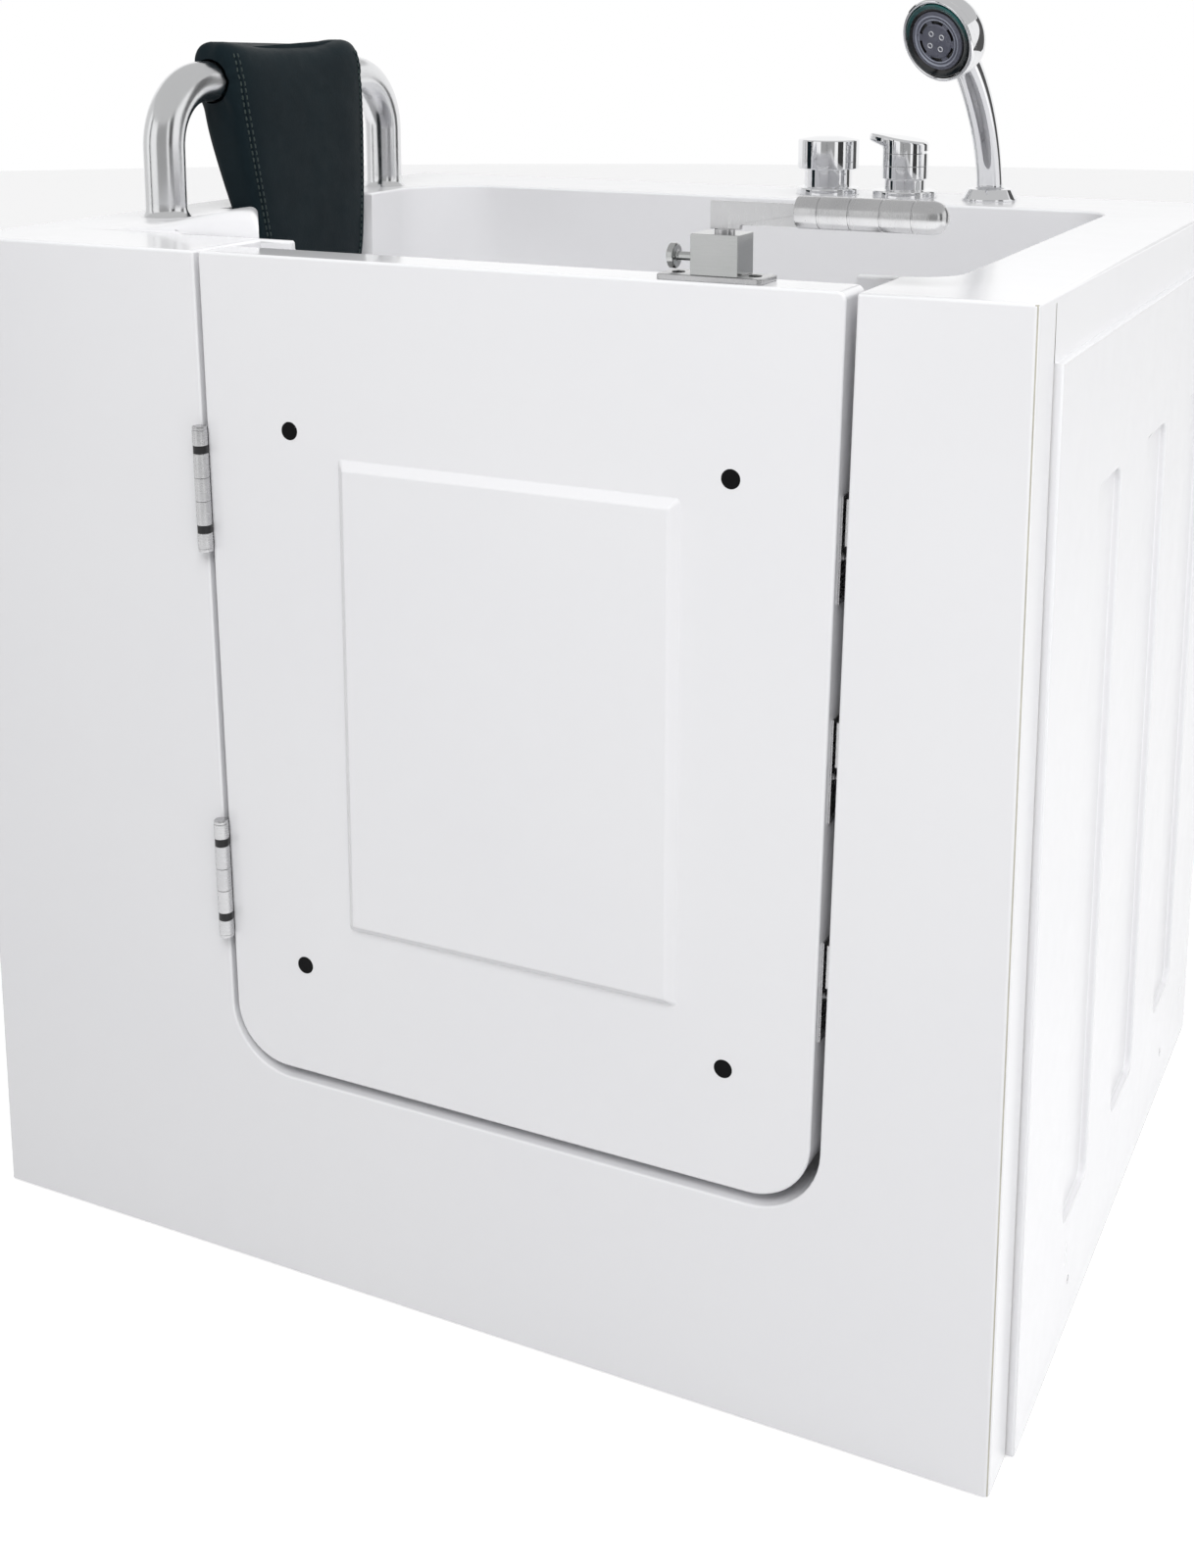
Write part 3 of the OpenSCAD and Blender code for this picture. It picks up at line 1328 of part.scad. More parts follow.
tub_shell();
front_apron();
side_panel();
side_panel_screws();
frame_long_rails();
frame_cross_rails();
frame_posts();
frame_top_rails();
foot_pads();
foot_studs();
foot_locknuts();
hinge_jamb_leaves();
hinge_pins();
hinge_bearings();
jamb_screws();
keepers();
door_outer_shell();
door_inner_shell();
door_gasket();
door_plugs();
door_bolts();
hinge_door_leaves();
door_edge_screws();
latch_face_strips();
latch_base_plate();
latch_plate_screws();
latch_housing();
latch_guides();
latch_spindle();
latch_lever();
latch_grip();
latch_rack();
lock_bar();
lock_pins();
lock_knob();
grab_rail();
grab_rail_nuts();
headrest_pad();
headrest_sleeve();
mixer_body();
mixer_cartridge();
mixer_hub();
mixer_lever();
mixer_valve_nut();
diverter_base();
diverter_valve();
diverter_knob();
shower_dock();
hand_shower();
spray_face();
supply_pipes();
mixed_water_pipe();
filler_spout();
overflow_body();
overflow_knob();
overflow_pipe();
drain_flange();
drain_stopper();
waste_trap();
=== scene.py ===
import json
import math
import bmesh
import bpy
from mathutils import Matrix, Vector


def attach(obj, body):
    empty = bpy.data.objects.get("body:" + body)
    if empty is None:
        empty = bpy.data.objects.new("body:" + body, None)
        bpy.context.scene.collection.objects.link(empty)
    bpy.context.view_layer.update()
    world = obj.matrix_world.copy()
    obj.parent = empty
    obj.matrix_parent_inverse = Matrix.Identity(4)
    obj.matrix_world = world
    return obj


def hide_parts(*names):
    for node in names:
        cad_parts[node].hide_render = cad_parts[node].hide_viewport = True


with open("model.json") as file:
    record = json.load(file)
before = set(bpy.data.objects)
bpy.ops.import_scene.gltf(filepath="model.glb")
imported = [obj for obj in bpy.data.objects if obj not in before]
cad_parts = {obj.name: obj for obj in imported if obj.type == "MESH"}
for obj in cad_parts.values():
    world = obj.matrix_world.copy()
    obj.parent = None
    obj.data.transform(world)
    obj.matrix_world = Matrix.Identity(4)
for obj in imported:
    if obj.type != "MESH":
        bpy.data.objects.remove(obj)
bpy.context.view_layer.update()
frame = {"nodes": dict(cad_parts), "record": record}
nodes = frame["nodes"]
scene = bpy.context.scene

# Sizes of the tub in millimetres, measured from its left, front and floor
WIDTH, DEPTH, RIM = 1012.0, 844.0, 965.0
SIDE_FACE = WIDTH + 7
LEAN = math.radians(1.09)
SHIFT_X, SHIFT_Y = SIDE_FACE / 2, (DEPTH - 13.85) / 2


def at(x, y, z):
    return Vector(((x - SHIFT_X) / 1000, (y - SHIFT_Y) / 1000, z / 1000))


# ---------- camera ----------
cam_data = bpy.data.cameras.new("camera")
cam = bpy.data.objects.new("camera", cam_data)
scene.collection.objects.link(cam)
scene.camera = cam
cam_data.sensor_fit = "AUTO"
cam_data.sensor_width = 36.0
cam_data.lens = 45.211
cam_data.shift_x = 0.0
cam_data.shift_y = -0.245
cam_data.clip_start = 0.05
cam_data.clip_end = 60
cam.location = (0.8265, -1.7891, 1.164)
# The way the camera looks, turned from straight to the back
VIEW = math.radians(26.05)
cam.rotation_euler = (math.radians(78.994), 0.0, VIEW)


# ---------- materials ----------
def fill(nt, node, inputs):
    """Sets a node's inputs to values, or links them to other nodes' outputs."""
    for key, value in inputs.items():
        if isinstance(value, bpy.types.NodeSocket):
            nt.links.new(value, node.inputs[key])
        else:
            node.inputs[key].default_value = value


def wire(nt, kind, inputs, **settings):
    """Adds a shader node and returns its outputs."""
    node = nt.nodes.new("ShaderNode" + kind)
    for key, value in settings.items():
        setattr(node, key, value)
    fill(nt, node, inputs)
    return node.outputs


def shader(name):
    """A new material with its node tree and its main shader."""
    m = bpy.data.materials.new(name)
    m.use_nodes = True
    return m, m.node_tree, m.node_tree.nodes["Principled BSDF"]


def ramp(nt, src, lo, hi, out_lo, out_hi):
    return wire(nt, "MapRange", {"Value": src, "From Min": lo, "From Max": hi, "To Min": out_lo,
                                 "To Max": out_hi})["Result"]


def grain(nt, coords, scale, detail=3.0, rough=0.5, stretch=(1, 1, 1)):
    scaled = wire(nt, "Mapping", {"Vector": coords, "Scale": stretch})["Vector"]
    return wire(nt, "TexNoise", {"Vector": scaled, "Scale": scale, "Detail": detail,
                                 "Roughness": rough})["Fac"]


def blend_colour(nt, fac, a, b):
    a, b = (c if isinstance(c, bpy.types.NodeSocket) else (*c, 1) for c in (a, b))
    return wire(nt, "Mix", {6: a, 7: b, 0: fac}, data_type="RGBA")[2]


def edge_mask(nt, radius):
    """How much a point lies on an outer edge, from 0 to 1."""
    bevel = wire(nt, "Bevel", {"Radius": radius}, samples=4)["Normal"]
    flat = wire(nt, "NewGeometry", {})["Normal"]
    dot = wire(nt, "VectorMath", {0: bevel, 1: flat}, operation="DOT_PRODUCT")["Value"]
    return ramp(nt, dot, 0.99, 0.82, 0.0, 1.0)


def surface(name, colour, rough, metal=0.0, shade=None, vary=6.0, uneven=(0.06, 30.0), bumps=(),
            stretch=(1, 1, 1), coat=0.0, coat_rough=0.05, round_r=0.0, edge_tone=None, specular=0.5):
    """A material of two close colours mixed by a soft noise, with fine relief. uneven gives how far its
    roughness varies, and how finely."""
    m, nt, b = shader(name)
    coords = wire(nt, "TexCoord", {})["Object"]
    fill(nt, b, {"Metallic": metal, "IOR": 1.5, "Specular IOR Level": specular, "Coat Weight": coat,
                 "Coat Roughness": coat_rough})
    shade = shade or tuple(c * 0.94 for c in colour)
    mixed = blend_colour(nt, ramp(nt, grain(nt, coords, vary, 4.0), 0.3, 0.7, 0.0, 1.0), colour, shade)
    # Outer edges blend towards a lighter colour
    if edge_tone:
        mixed = blend_colour(nt, edge_mask(nt, edge_tone[1]), mixed, edge_tone[0])
    nt.links.new(mixed, b.inputs["Base Color"])
    span, patch = uneven
    soft = grain(nt, coords, patch, 3.0, 0.6, stretch)
    nt.links.new(ramp(nt, soft, 0.25, 0.75, max(0.0, rough - span), rough + span), b.inputs["Roughness"])
    normal = {"Normal": wire(nt, "Bevel", {"Radius": round_r}, samples=6)["Normal"]} if round_r else {}
    for scale, strength, distance, *pull in bumps:
        height = grain(nt, coords, scale, 2.0, 0.5, *pull)
        normal = {"Normal": wire(nt, "Bump", {"Height": height, "Strength": strength, "Distance": distance,
                                              **normal})["Normal"]}
    fill(nt, b, normal)
    return m


acrylic = surface("acrylic", (0.84, 0.84, 0.855), 0.19, shade=(0.825, 0.825, 0.845), vary=3.0,
                  uneven=(0.03, 6.0), bumps=((7.0, 0.06, 0.004), (240.0, 0.05, 0.0003)), coat=0.12)
door_acrylic = surface("door_acrylic", (0.84, 0.84, 0.855), 0.14, shade=(0.825, 0.825, 0.845), vary=3.0,
                       uneven=(0.03, 7.0), bumps=((6.0, 0.06, 0.004), (240.0, 0.05, 0.0003)), coat=0.35)
glass_fibre = surface("glass_fibre", (0.52, 0.50, 0.42), 0.55, shade=(0.40, 0.385, 0.33), vary=22.0,
                      uneven=(0.15, 60.0), bumps=((90.0, 0.7, 0.002), (420.0, 0.5, 0.0008, (1, 1, 3))))
panel_white = surface("panel_white", (0.85, 0.85, 0.865), 0.24, shade=(0.835, 0.835, 0.855), vary=4.0,
                      uneven=(0.04, 12.0), bumps=((6.0, 0.05, 0.003), (320.0, 0.08, 0.0003)), coat=0.15,
                      coat_rough=0.15)
chrome = surface("chrome", (0.86, 0.865, 0.875), 0.045, 1.0, shade=(0.82, 0.825, 0.84), vary=9.0,
                 uneven=(0.02, 40.0), bumps=((60.0, 0.02, 0.0004),))
brushed = surface("brushed_steel", (0.60, 0.60, 0.605), 0.28, 1.0, shade=(0.50, 0.50, 0.51), vary=25.0,
                  uneven=(0.08, 60.0), stretch=(1, 1, 14), bumps=((900.0, 0.12, 0.0002, (0.04, 1, 1)),),
                  round_r=0.0006, edge_tone=((0.78, 0.78, 0.78), 0.0006))
turned = surface("turned_metal", (0.66, 0.66, 0.665), 0.24, 1.0, shade=(0.56, 0.56, 0.57), vary=30.0,
                 uneven=(0.07, 80.0), stretch=(6, 1, 1), bumps=((1400.0, 0.15, 0.0002, (1, 0.15, 0.15)),))
frame_steel = surface("frame_steel", (0.48, 0.485, 0.49), 0.36, 1.0, shade=(0.36, 0.355, 0.35), vary=7.0,
                      uneven=(0.1, 30.0), stretch=(1, 1, 10), bumps=((700.0, 0.15, 0.0002, (1, 0.06, 1)),),
                      round_r=0.0015)
black_plastic = surface("black_plastic", (0.012, 0.012, 0.013), 0.38, shade=(0.02, 0.02, 0.021), vary=20.0,
                        uneven=(0.08, 70.0), bumps=((900.0, 0.12, 0.0002),), round_r=0.0005, specular=0.3)
seal_rubber = surface("seal_rubber", (0.05, 0.05, 0.052), 0.6, shade=(0.035, 0.035, 0.036), vary=20.0,
                      uneven=(0.1, 30.0), bumps=((500.0, 0.2, 0.0003),), round_r=0.001)
copper = surface("copper", (0.72, 0.36, 0.22), 0.30, 1.0, shade=(0.45, 0.22, 0.14), vary=14.0,
                 uneven=(0.12, 40.0), bumps=((200.0, 0.1, 0.0004),))
brass = surface("brass", (0.74, 0.55, 0.25), 0.32, 1.0, shade=(0.52, 0.38, 0.17), vary=25.0,
                uneven=(0.1, 30.0), bumps=((400.0, 0.15, 0.0003),), round_r=0.0008)
ceramic = surface("ceramic", (0.72, 0.70, 0.62), 0.4, shade=(0.66, 0.64, 0.56), bumps=((300.0, 0.1, 0.0003),))
waste_plastic = surface("waste_plastic", (0.62, 0.62, 0.62), 0.42, shade=(0.56, 0.56, 0.565), vary=16.0,
                        uneven=(0.08, 30.0), bumps=((300.0, 0.12, 0.0004),), round_r=0.001)


# ---------- mesh helpers ----------
def new_object(name, mesh, mats=()):
    ob = bpy.data.objects.new(name, mesh)
    scene.collection.objects.link(ob)
    for m in mats:
        mesh.materials.append(m)
    return ob


def meshed(bm, name="work"):
    """A bmesh as a mesh; the bmesh goes."""
    mesh = bpy.data.meshes.new(name)
    bm.to_mesh(mesh)
    bm.free()
    return mesh


def baked(bm):
    return new_object("work", meshed(bm))


def piece(name, bm, mats, body, stands_for=(), angle=30.0, weighted=True, fix=True):
    """Turns a bmesh into a finished piece that rides on a body and stands for CAD nodes."""
    if fix:
        outward(bm)
    mesh = meshed(bm, name)
    mesh.shade_smooth()
    mesh.set_sharp_from_angle(angle=math.radians(angle))
    ob = new_object(name, mesh, mats)
    if weighted:
        w = ob.modifiers.new("even_normals", "WEIGHTED_NORMAL")
        w.keep_sharp = True
    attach(ob, body)
    if stands_for:
        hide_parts(*stands_for)
    return ob


def copy_of(*names):
    """The CAD nodes' own shape as one bmesh, with its flat faces made whole."""
    bm = bmesh.new()
    for n in names:
        bm.from_mesh(nodes[n].data)
    bmesh.ops.remove_doubles(bm, verts=bm.verts, dist=4e-6)
    bmesh.ops.dissolve_limit(bm, angle_limit=math.radians(0.4), verts=bm.verts, edges=bm.edges)
    return bm


def outward(bm):
    """Turns all faces outwards."""
    bmesh.ops.recalc_face_normals(bm, faces=bm.faces)
    return bm


def taken(ob):
    """The mesh of an object as a bmesh; the object goes."""
    bm = bmesh.new()
    bm.from_mesh(ob.data)
    bpy.data.objects.remove(ob)
    return bm


def merge(bm, part, place=None):
    """Moves one bmesh by a matrix and adds it to another."""
    if place is not None:
        bmesh.ops.transform(part, matrix=place, verts=part.verts)
    mesh = meshed(part)
    bm.from_mesh(mesh)
    bpy.data.meshes.remove(mesh)


def combine(ob, bm, how="DIFFERENCE"):
    """Cuts a bmesh from an object, or joins it on."""
    other = baked(bm)
    mod = ob.modifiers.new("boolean", "BOOLEAN")
    mod.operation = how
    mod.solver = "EXACT"
    mod.object = other
    got = bpy.data.meshes.new_from_object(ob.evaluated_get(bpy.context.evaluated_depsgraph_get()))
    ob.modifiers.remove(mod)
    ob.data = got
    bpy.data.objects.remove(other)


def cube(bm, lo, hi):
    for v in bmesh.ops.create_cube(bm, size=1.0)["verts"]:
        v.co = Vector(lo[i] + (hi[i] - lo[i]) * (v.co[i] + 0.5) for i in range(3))


def block(x0, x1, y0, y1, z0, z1, bm=None):
    bm = bm or bmesh.new()
    cube(bm, at(x0, y0, z0), at(x1, y1, z1))
    return bm


def mm(v):
    return v.co.x * 1000 + SHIFT_X, v.co.y * 1000 + SHIFT_Y, v.co.z * 1000


def bevel(bm, geom, width, steps, slide=False):
    bmesh.ops.bevel(bm, geom=geom, offset=width / 1000, offset_type="OFFSET", segments=steps, profile=0.5,
                    affect="EDGES", clamp_overlap=False, loop_slide=slide)


LEAST_EDGE = math.radians(20)


def soften(bm, wanted, width, steps=3):
    """Rounds the clear edges whose two ends and middle satisfy wanted(x, y, z), in mm."""
    chosen = []
    for e in bm.edges:
        if len(e.link_faces) != 2 or e.calc_face_angle(0.0) < LEAST_EDGE:
            continue
        a, b = mm(e.verts[0]), mm(e.verts[1])
        if wanted(*a) and wanted(*b) and wanted(*[(p + q) / 2 for p, q in zip(a, b)]):
            chosen.append(e)
    if chosen:
        verts = list({v for e in chosen for v in e.verts})
        bevel(bm, chosen + verts, width, steps, True)


def fillet(points, radius, steps=5, closed=True):
    """A 2D outline with rounded corners. radius is one number, or one for each corner."""
    out, n = [], len(points)
    for i, p in enumerate(points):
        r = radius[i] if isinstance(radius, (list, tuple)) else radius
        if r <= 0 or (not closed and i in (0, n - 1)):
            out.append(tuple(p))
            continue
        b, a, c = Vector(p), Vector(points[i - 1]), Vector(points[(i + 1) % n])
        u, v = (a - b), (c - b)
        lu, lv = u.length, v.length
        u, v = u / lu, v / lv
        half = math.acos(max(-1.0, min(1.0, u.dot(v)))) / 2
        if half > math.radians(89.5):
            out.append(tuple(p))
            continue
        d = min(r / math.tan(half), 0.48 * lu, 0.48 * lv)
        rr = d * math.tan(half)
        mid = b + (u + v).normalized() * (rr / math.sin(half))
        s, e = b + u * d - mid, b + v * d - mid
        a0 = math.atan2(s.y, s.x)
        turn = math.atan2(s.x * e.y - s.y * e.x, s.dot(e))
        for k in range(steps + 1):
            t = a0 + turn * k / steps
            out.append((mid.x + rr * math.cos(t), mid.y + rr * math.sin(t)))
    return out


def skin(bm, rings, closed_ends=(True, True)):
    """Joins rings of vertices, all of one length, into a surface with capped ends."""
    made = [[bm.verts.new(p) for p in ring] for ring in rings]
    n = len(made[0])
    for a, b in zip(made, made[1:]):
        for i in range(n):
            bm.faces.new((a[i], a[(i + 1) % n], b[(i + 1) % n], b[i]))
    for ring, close in ((made[0], closed_ends[0]), (made[-1], closed_ends[1])):
        if close:
            bm.faces.new(ring)
    return made


def lathe(bm, profile, origin=Vector(), axis=(0, 0, 1), steps=96, finish=None):
    """Turns (radius, height) points in mm about an axis through origin. A height may be a function of the
    angle. finish(r, a) gives the number of a face's material."""
    turn = Vector((0, 0, 1)).rotation_difference(Vector(axis).normalized())
    rings = []
    for r, h in profile:
        ring = []
        for i in range(steps if r > 1e-6 else 1):
            a = 2 * math.pi * i / steps
            spot = Vector((r * math.cos(a), r * math.sin(a), h(a) if callable(h) else h))
            ring.append(bm.verts.new(origin + turn @ spot / 1000))
        rings.append(ring if len(ring) > 1 else ring * steps)
    for k, (a, b) in enumerate(zip(rings, rings[1:])):
        for i in range(steps):
            j = (i + 1) % steps
            corners = list(dict.fromkeys((a[i], a[j], b[j], b[i])))
            if len(corners) < 3:
                continue
            face = bm.faces.new(corners)
            if finish:
                middle = (profile[k][0] + profile[k + 1][0]) / 2
                face.material_index = finish(middle, 2 * math.pi * (i + 0.5) / steps)


def tube_along(bm, path, radius, steps, shape=None):
    """A tube of radius(t) mm along points, t from 0 to 1. shape(angle, t) multiplies the radius."""
    pts = [Vector(p) for p in path]
    n = len(pts)
    tangents = [(pts[min(i + 1, n - 1)] - pts[max(i - 1, 0)]).normalized() for i in range(n)]
    side = tangents[0].orthogonal().normalized()
    rings = []
    for i in range(n):
        if i:
            side = tangents[i - 1].rotation_difference(tangents[i]) @ side
        side = (side - tangents[i] * side.dot(tangents[i])).normalized()
        up = tangents[i].cross(side)
        t = i / (n - 1)
        ring = []
        for k in range(steps):
            a = 2 * math.pi * k / steps
            q = radius(t) * (shape(a, t) if shape else 1.0) / 1000
            ring.append(pts[i] + (side * math.cos(a) + up * math.sin(a)) * q)
        rings.append(ring)
    skin(bm, rings)


def left_side(z):
    return 274 + (RIM - z) * math.tan(LEAN)


def right_side(z):
    return 877.2 - (RIM - z) * math.tan(LEAN)


# ---------- moulded tub ----------
TAP_Y, TAPS, RAIL_X, RAIL_Y, RAIL_TOP = 775.0, (580.0, 671.0, 768.2), 62.0, (235.0, 649.0), 1098.0
# The basin's faces (left, right, front, back), the seat's height and front edge, the heights of the footwell
# and of the headrest's niche, and the drain's centre
BASIN, SEAT_Z, SEAT_END, FLOOR_Z, NICHE_Z, DRAIN = (104, 918, 105, 701), 540, 504, 110, 860, (780, 400)


def in_basin(x, y, margin=0.0):
    return BASIN[0] + margin < x < BASIN[1] - margin and BASIN[2] + margin < y < BASIN[3] - margin


def smooth(t):
    t = max(0.0, min(1.0, t))
    return t * t * (3 - 2 * t)


def quarter(n):
    """The angles of a quarter turn in n steps."""
    return [math.pi / 2 * k / n for k in range(n + 1)]


def arm_end(y):
    """Where the slanting right end of the armrest stands, at the depth y."""
    return 269 - 80 / 110 * (y - 105)


def armrest_height(x, y):
    """Crowned armrest on the left deck: highest near its slanting right end, gone at its left end."""
    along = smooth((x - 58) / 185) * 0.82 + 0.18 * smooth((x - 150) / 90)
    off = max(0.0, 9 - (arm_end(y) - x) * 0.809) / 9
    end = 0.66 + 0.34 * math.sqrt(max(0.0, 1 - off * off))
    v = min(1.0, abs(y - 156.5) / 50.0)
    across = (1 - v ** (2.2 + 5.0 * smooth((x - 120) / 100))) ** 0.55
    return 24.0 * along * across * end


def armrest():
    bm = bmesh.new()
    us = [i / 72 for i in range(68)] + [0.944 + 0.056 * k / 12 for k in range(13)]
    ys = [156.5 - 50 * math.cos(math.pi * j / 56) for j in range(57)]
    rings = []
    for u in us:
        spots = [(50 + (arm_end(y) - 0.2 - 50) * u, y) for y in ys]
        rings.append([at(x, y, RIM - 0.4 + armrest_height(x, y)) for x, y in spots]
                     + [at(x, y, RIM - 4.0) for x, y in reversed(spots)])
    made = skin(bm, rings, (False, False))
    for ring in (made[0], made[-1]):
        for j in range(len(ys) - 1):
            bm.faces.new((ring[j], ring[j + 1], ring[-2 - j], ring[-1 - j]))
    return outward(bm)


def shown_side(x, y, z):
    """True where a point just off the moulding's face is in the room or in the basin, not behind it."""
    if z > RIM - 0.4 or x < -0.2 or x > WIDTH + 0.2 or y < -0.2 or y > DEPTH + 0.2 or z < 1.8:
        return True
    if y < 106 and z > 201.2 and left_side(z) - 0.6 < x < right_side(z) + 0.6:
        return True
    bottom = (FLOOR_Z if x > SEAT_END + 0.4 else SEAT_Z) - 0.6
    if in_basin(x, y, 0.4) and z > bottom and (y > 214 or x > arm_end(y) - 0.6):
        return True
    return 61.4 < x < 106 and 324.4 < y < 553.6 and z > NICHE_Z - 0.6


def moulding():
    ob = baked(copy_of("tub_shell"))
    combine(ob, copy_of("front_apron"), "UNION")
    # The CAD's plain armrest makes way for the crowned one, cut off along its slanting right end
    combine(ob, block(50, 267.95, 103, 213, 957, 1000))
    combine(ob, block(49.9, 268, 102.9, 213.1, RIM - 6, RIM), "UNION")
    combine(ob, armrest(), "UNION")
    slant = [(arm_end(105.05), 105.05), (330, 105.05), (330, 214.9), (arm_end(214.9), 214.9)]
    wedge = bmesh.new()
    skin(wedge, [[at(x, y, z) for x, y in slant] for z in (957, 1000)])
    combine(ob, wedge)
    bm = taken(ob)
    bmesh.ops.remove_doubles(bm, verts=bm.verts, dist=2e-5)
    bmesh.ops.dissolve_limit(bm, angle_limit=math.radians(0.3), verts=bm.verts, edges=bm.edges)
    holes = [(x, TAP_Y, 30) for x in TAPS] + [(RAIL_X, y, 20) for y in RAIL_Y]

    def clear_of_holes(x, y):
        return all((x - a) ** 2 + (y - b) ** 2 > r * r for a, b, r in holes)

    # Corners inside the basin, then the seat's front edge, then the outer corners and every rim
    soften(bm, lambda x, y, z: x > SEAT_END and in_basin(x, y) and abs(z - FLOOR_Z) < 1
           and (x - DRAIN[0]) ** 2 + (y - DRAIN[1]) ** 2 > 40 ** 2, 12, 5)
    soften(bm, lambda x, y, z: BASIN[0] < x < SEAT_END and y > 214 and abs(z - SEAT_Z) < 1, 12, 5)
    soften(bm, lambda x, y, z: abs(x - 505) < 1 and y > 214 and abs(z - SEAT_Z) < 1, 12, 6)
    soften(bm, lambda x, y, z: (x < 1 or x > WIDTH - 1) and y < 1 and 1 < z < RIM + 1, 4.5, 5)
    soften(bm, lambda x, y, z: abs(z - RIM) < 0.3 and clear_of_holes(x, y)
           and not (185 < x < 271 and 104 < y < 214.8), 3.0, 4)
    soften(bm, lambda x, y, z: abs(y) < 0.3 and z > 201 and 255 < x < 900, 2.0, 3)
    soften(bm, lambda x, y, z: 99 < y < 107 and z < 962 and 300 < x < 860, 1.6, 3)
    soften(bm, lambda x, y, z: 60 < x < 64 and 320 < y < 558 and z < 962, 6, 4)
    glass = [f for f in bm.faces if not shown_side(*[c * 1000 + s for c, s in zip(
        f.calc_center_median() + f.normal * 0.0012, (SHIFT_X, SHIFT_Y, 0))])]
    for f in glass:
        f.material_index = 1
    piece("tub_moulding", bm, (acrylic, glass_fibre), "tub", ("tub_shell", "front_apron"),
          angle=35, fix=False)


moulding()


# ---------- side panel ----------
def side_panel():
    bm = copy_of("side_panel")
    soften(bm, lambda x, y, z: SIDE_FACE - 7 < x < SIDE_FACE - 5.5 and 118 < z < 800 and y > 190, 3.4, 4)
    soften(bm, lambda x, y, z: x > SIDE_FACE - 0.5 and 118 < z < 800 and 190 < y < 730, 3.0, 4)
    soften(bm, lambda x, y, z: x > SIDE_FACE - 0.5 and (y < 55 or y > 843 or z < 3 or z > 913), 2.2, 3)
    piece("side_cover", bm, (panel_white,), "tub", ("side_panel",), angle=35, fix=False)


side_panel()


# ---------- door ----------
PANEL_MID = (left_side(RIM) + 4.8 / math.cos(LEAN) + 868.8) / 2 + 4.2
BOLTS = [(x, z) for x in (PANEL_MID - 208.3, PANEL_MID + 201.1) for z in (318.0, 814.0)]


def door_outline(inset):
    """The door's front outline, moved inwards: leaning sides and rounded lower corners."""
    z0, top = 212.0 + inset, RIM - inset
    xl = [left_side(z) + (4.8 + inset) / math.cos(LEAN) for z in (top, z0)]
    xr = [right_side(z) - (8.4 + inset) / math.cos(LEAN) for z in (top, z0)]
    radii = [max(0.4, 3.0 - inset), max(0.4, 7.0 - inset), max(1.0, 54.0 - inset), max(1.0, 54.0 - inset)]
    return fillet([(xl[0], top), (xr[0], top), (xr[1], z0), (xl[1], z0)], radii, 14)


def panel_ring(inset, depth):
    r = 3.5 if inset < 4 else 1.5
    x0, x1, z0, z1 = PANEL_MID - 159.5 + inset, PANEL_MID + 159.5 - inset, 362.5 + inset, 794.5 - inset
    return [at(x, depth, z) for x, z in fillet([(x0, z1), (x1, z1), (x1, z0), (x0, z0)], r, 5)]


def fill_between(bm, loops):
    """Fills the flat ground between an outer loop and the loops inside it."""
    edges = []
    for ring in loops:
        for a, b in zip(ring, ring[1:] + ring[:1]):
            edges.append(bm.edges.get((a, b)) or bm.edges.new((a, b)))
    bmesh.ops.triangle_fill(bm, use_beauty=True, use_dissolve=False, edges=edges)


def door_skin():
    bm = bmesh.new()
    edge = 2.6
    steps = [(edge * (1 - math.sin(a)), edge * (1 - math.cos(a))) for a in quarter(5)]
    steps += [(0, 44.2), (0.3, 44.8), (1.0, 45.0), (5.0, 45.0), (5.0, 5.0)]
    rings = [[at(x, y, z) for x, z in door_outline(i)] for i, y in steps]
    made = skin(bm, rings, (False, True))
    profile = [(0, 0), (0.5, -0.06), (1.1, -0.45), (1.8, -1.1), (7.4, -6.5), (8.1, -7.1),
               (8.8, -7.45), (9.7, -7.6)]
    panel = skin(bm, [panel_ring(i, y) for i, y in profile], (False, True))
    fill_between(bm, [made[0], panel[0]])
    ob = baked(outward(bm))
    slots = bmesh.new()
    for z in (399, 586, 765):
        block(right_side(z) - 18, right_side(z) - 8.4 + 4, 22.5 - 4.8, 22.5 + 4.8, z - 10, z + 12.9, slots)
    combine(ob, slots)
    piece("door_skin", taken(ob), (door_acrylic,), "door", ("door_outer_shell",),
          angle=40, fix=False)


door_skin()


def door_pan():
    bm = copy_of("door_inner_shell")
    soften(bm, lambda x, y, z: y > 91.5, 6, 5)
    piece("door_pan", bm, (door_acrylic,), "door", ("door_inner_shell",), angle=35, fix=False)


door_pan()


# ---------- grab rail ----------
satin_chrome = surface("satin_chrome", (0.80, 0.805, 0.815), 0.2, 1.0, shade=(0.77, 0.775, 0.785), vary=9.0,
                       uneven=(0.02, 8.0), bumps=((40.0, 0.01, 0.0004),))


def arc(centre, u, v, r, a0, a1, n):
    """Points on a circle in the plane of u and v, in mm."""
    return [tuple(centre[k] + r * (u[k] * math.cos(a) + v[k] * math.sin(a)) for k in range(3))
            for a in [math.radians(a0 + (a1 - a0) * i / n) for i in range(n + 1)]]


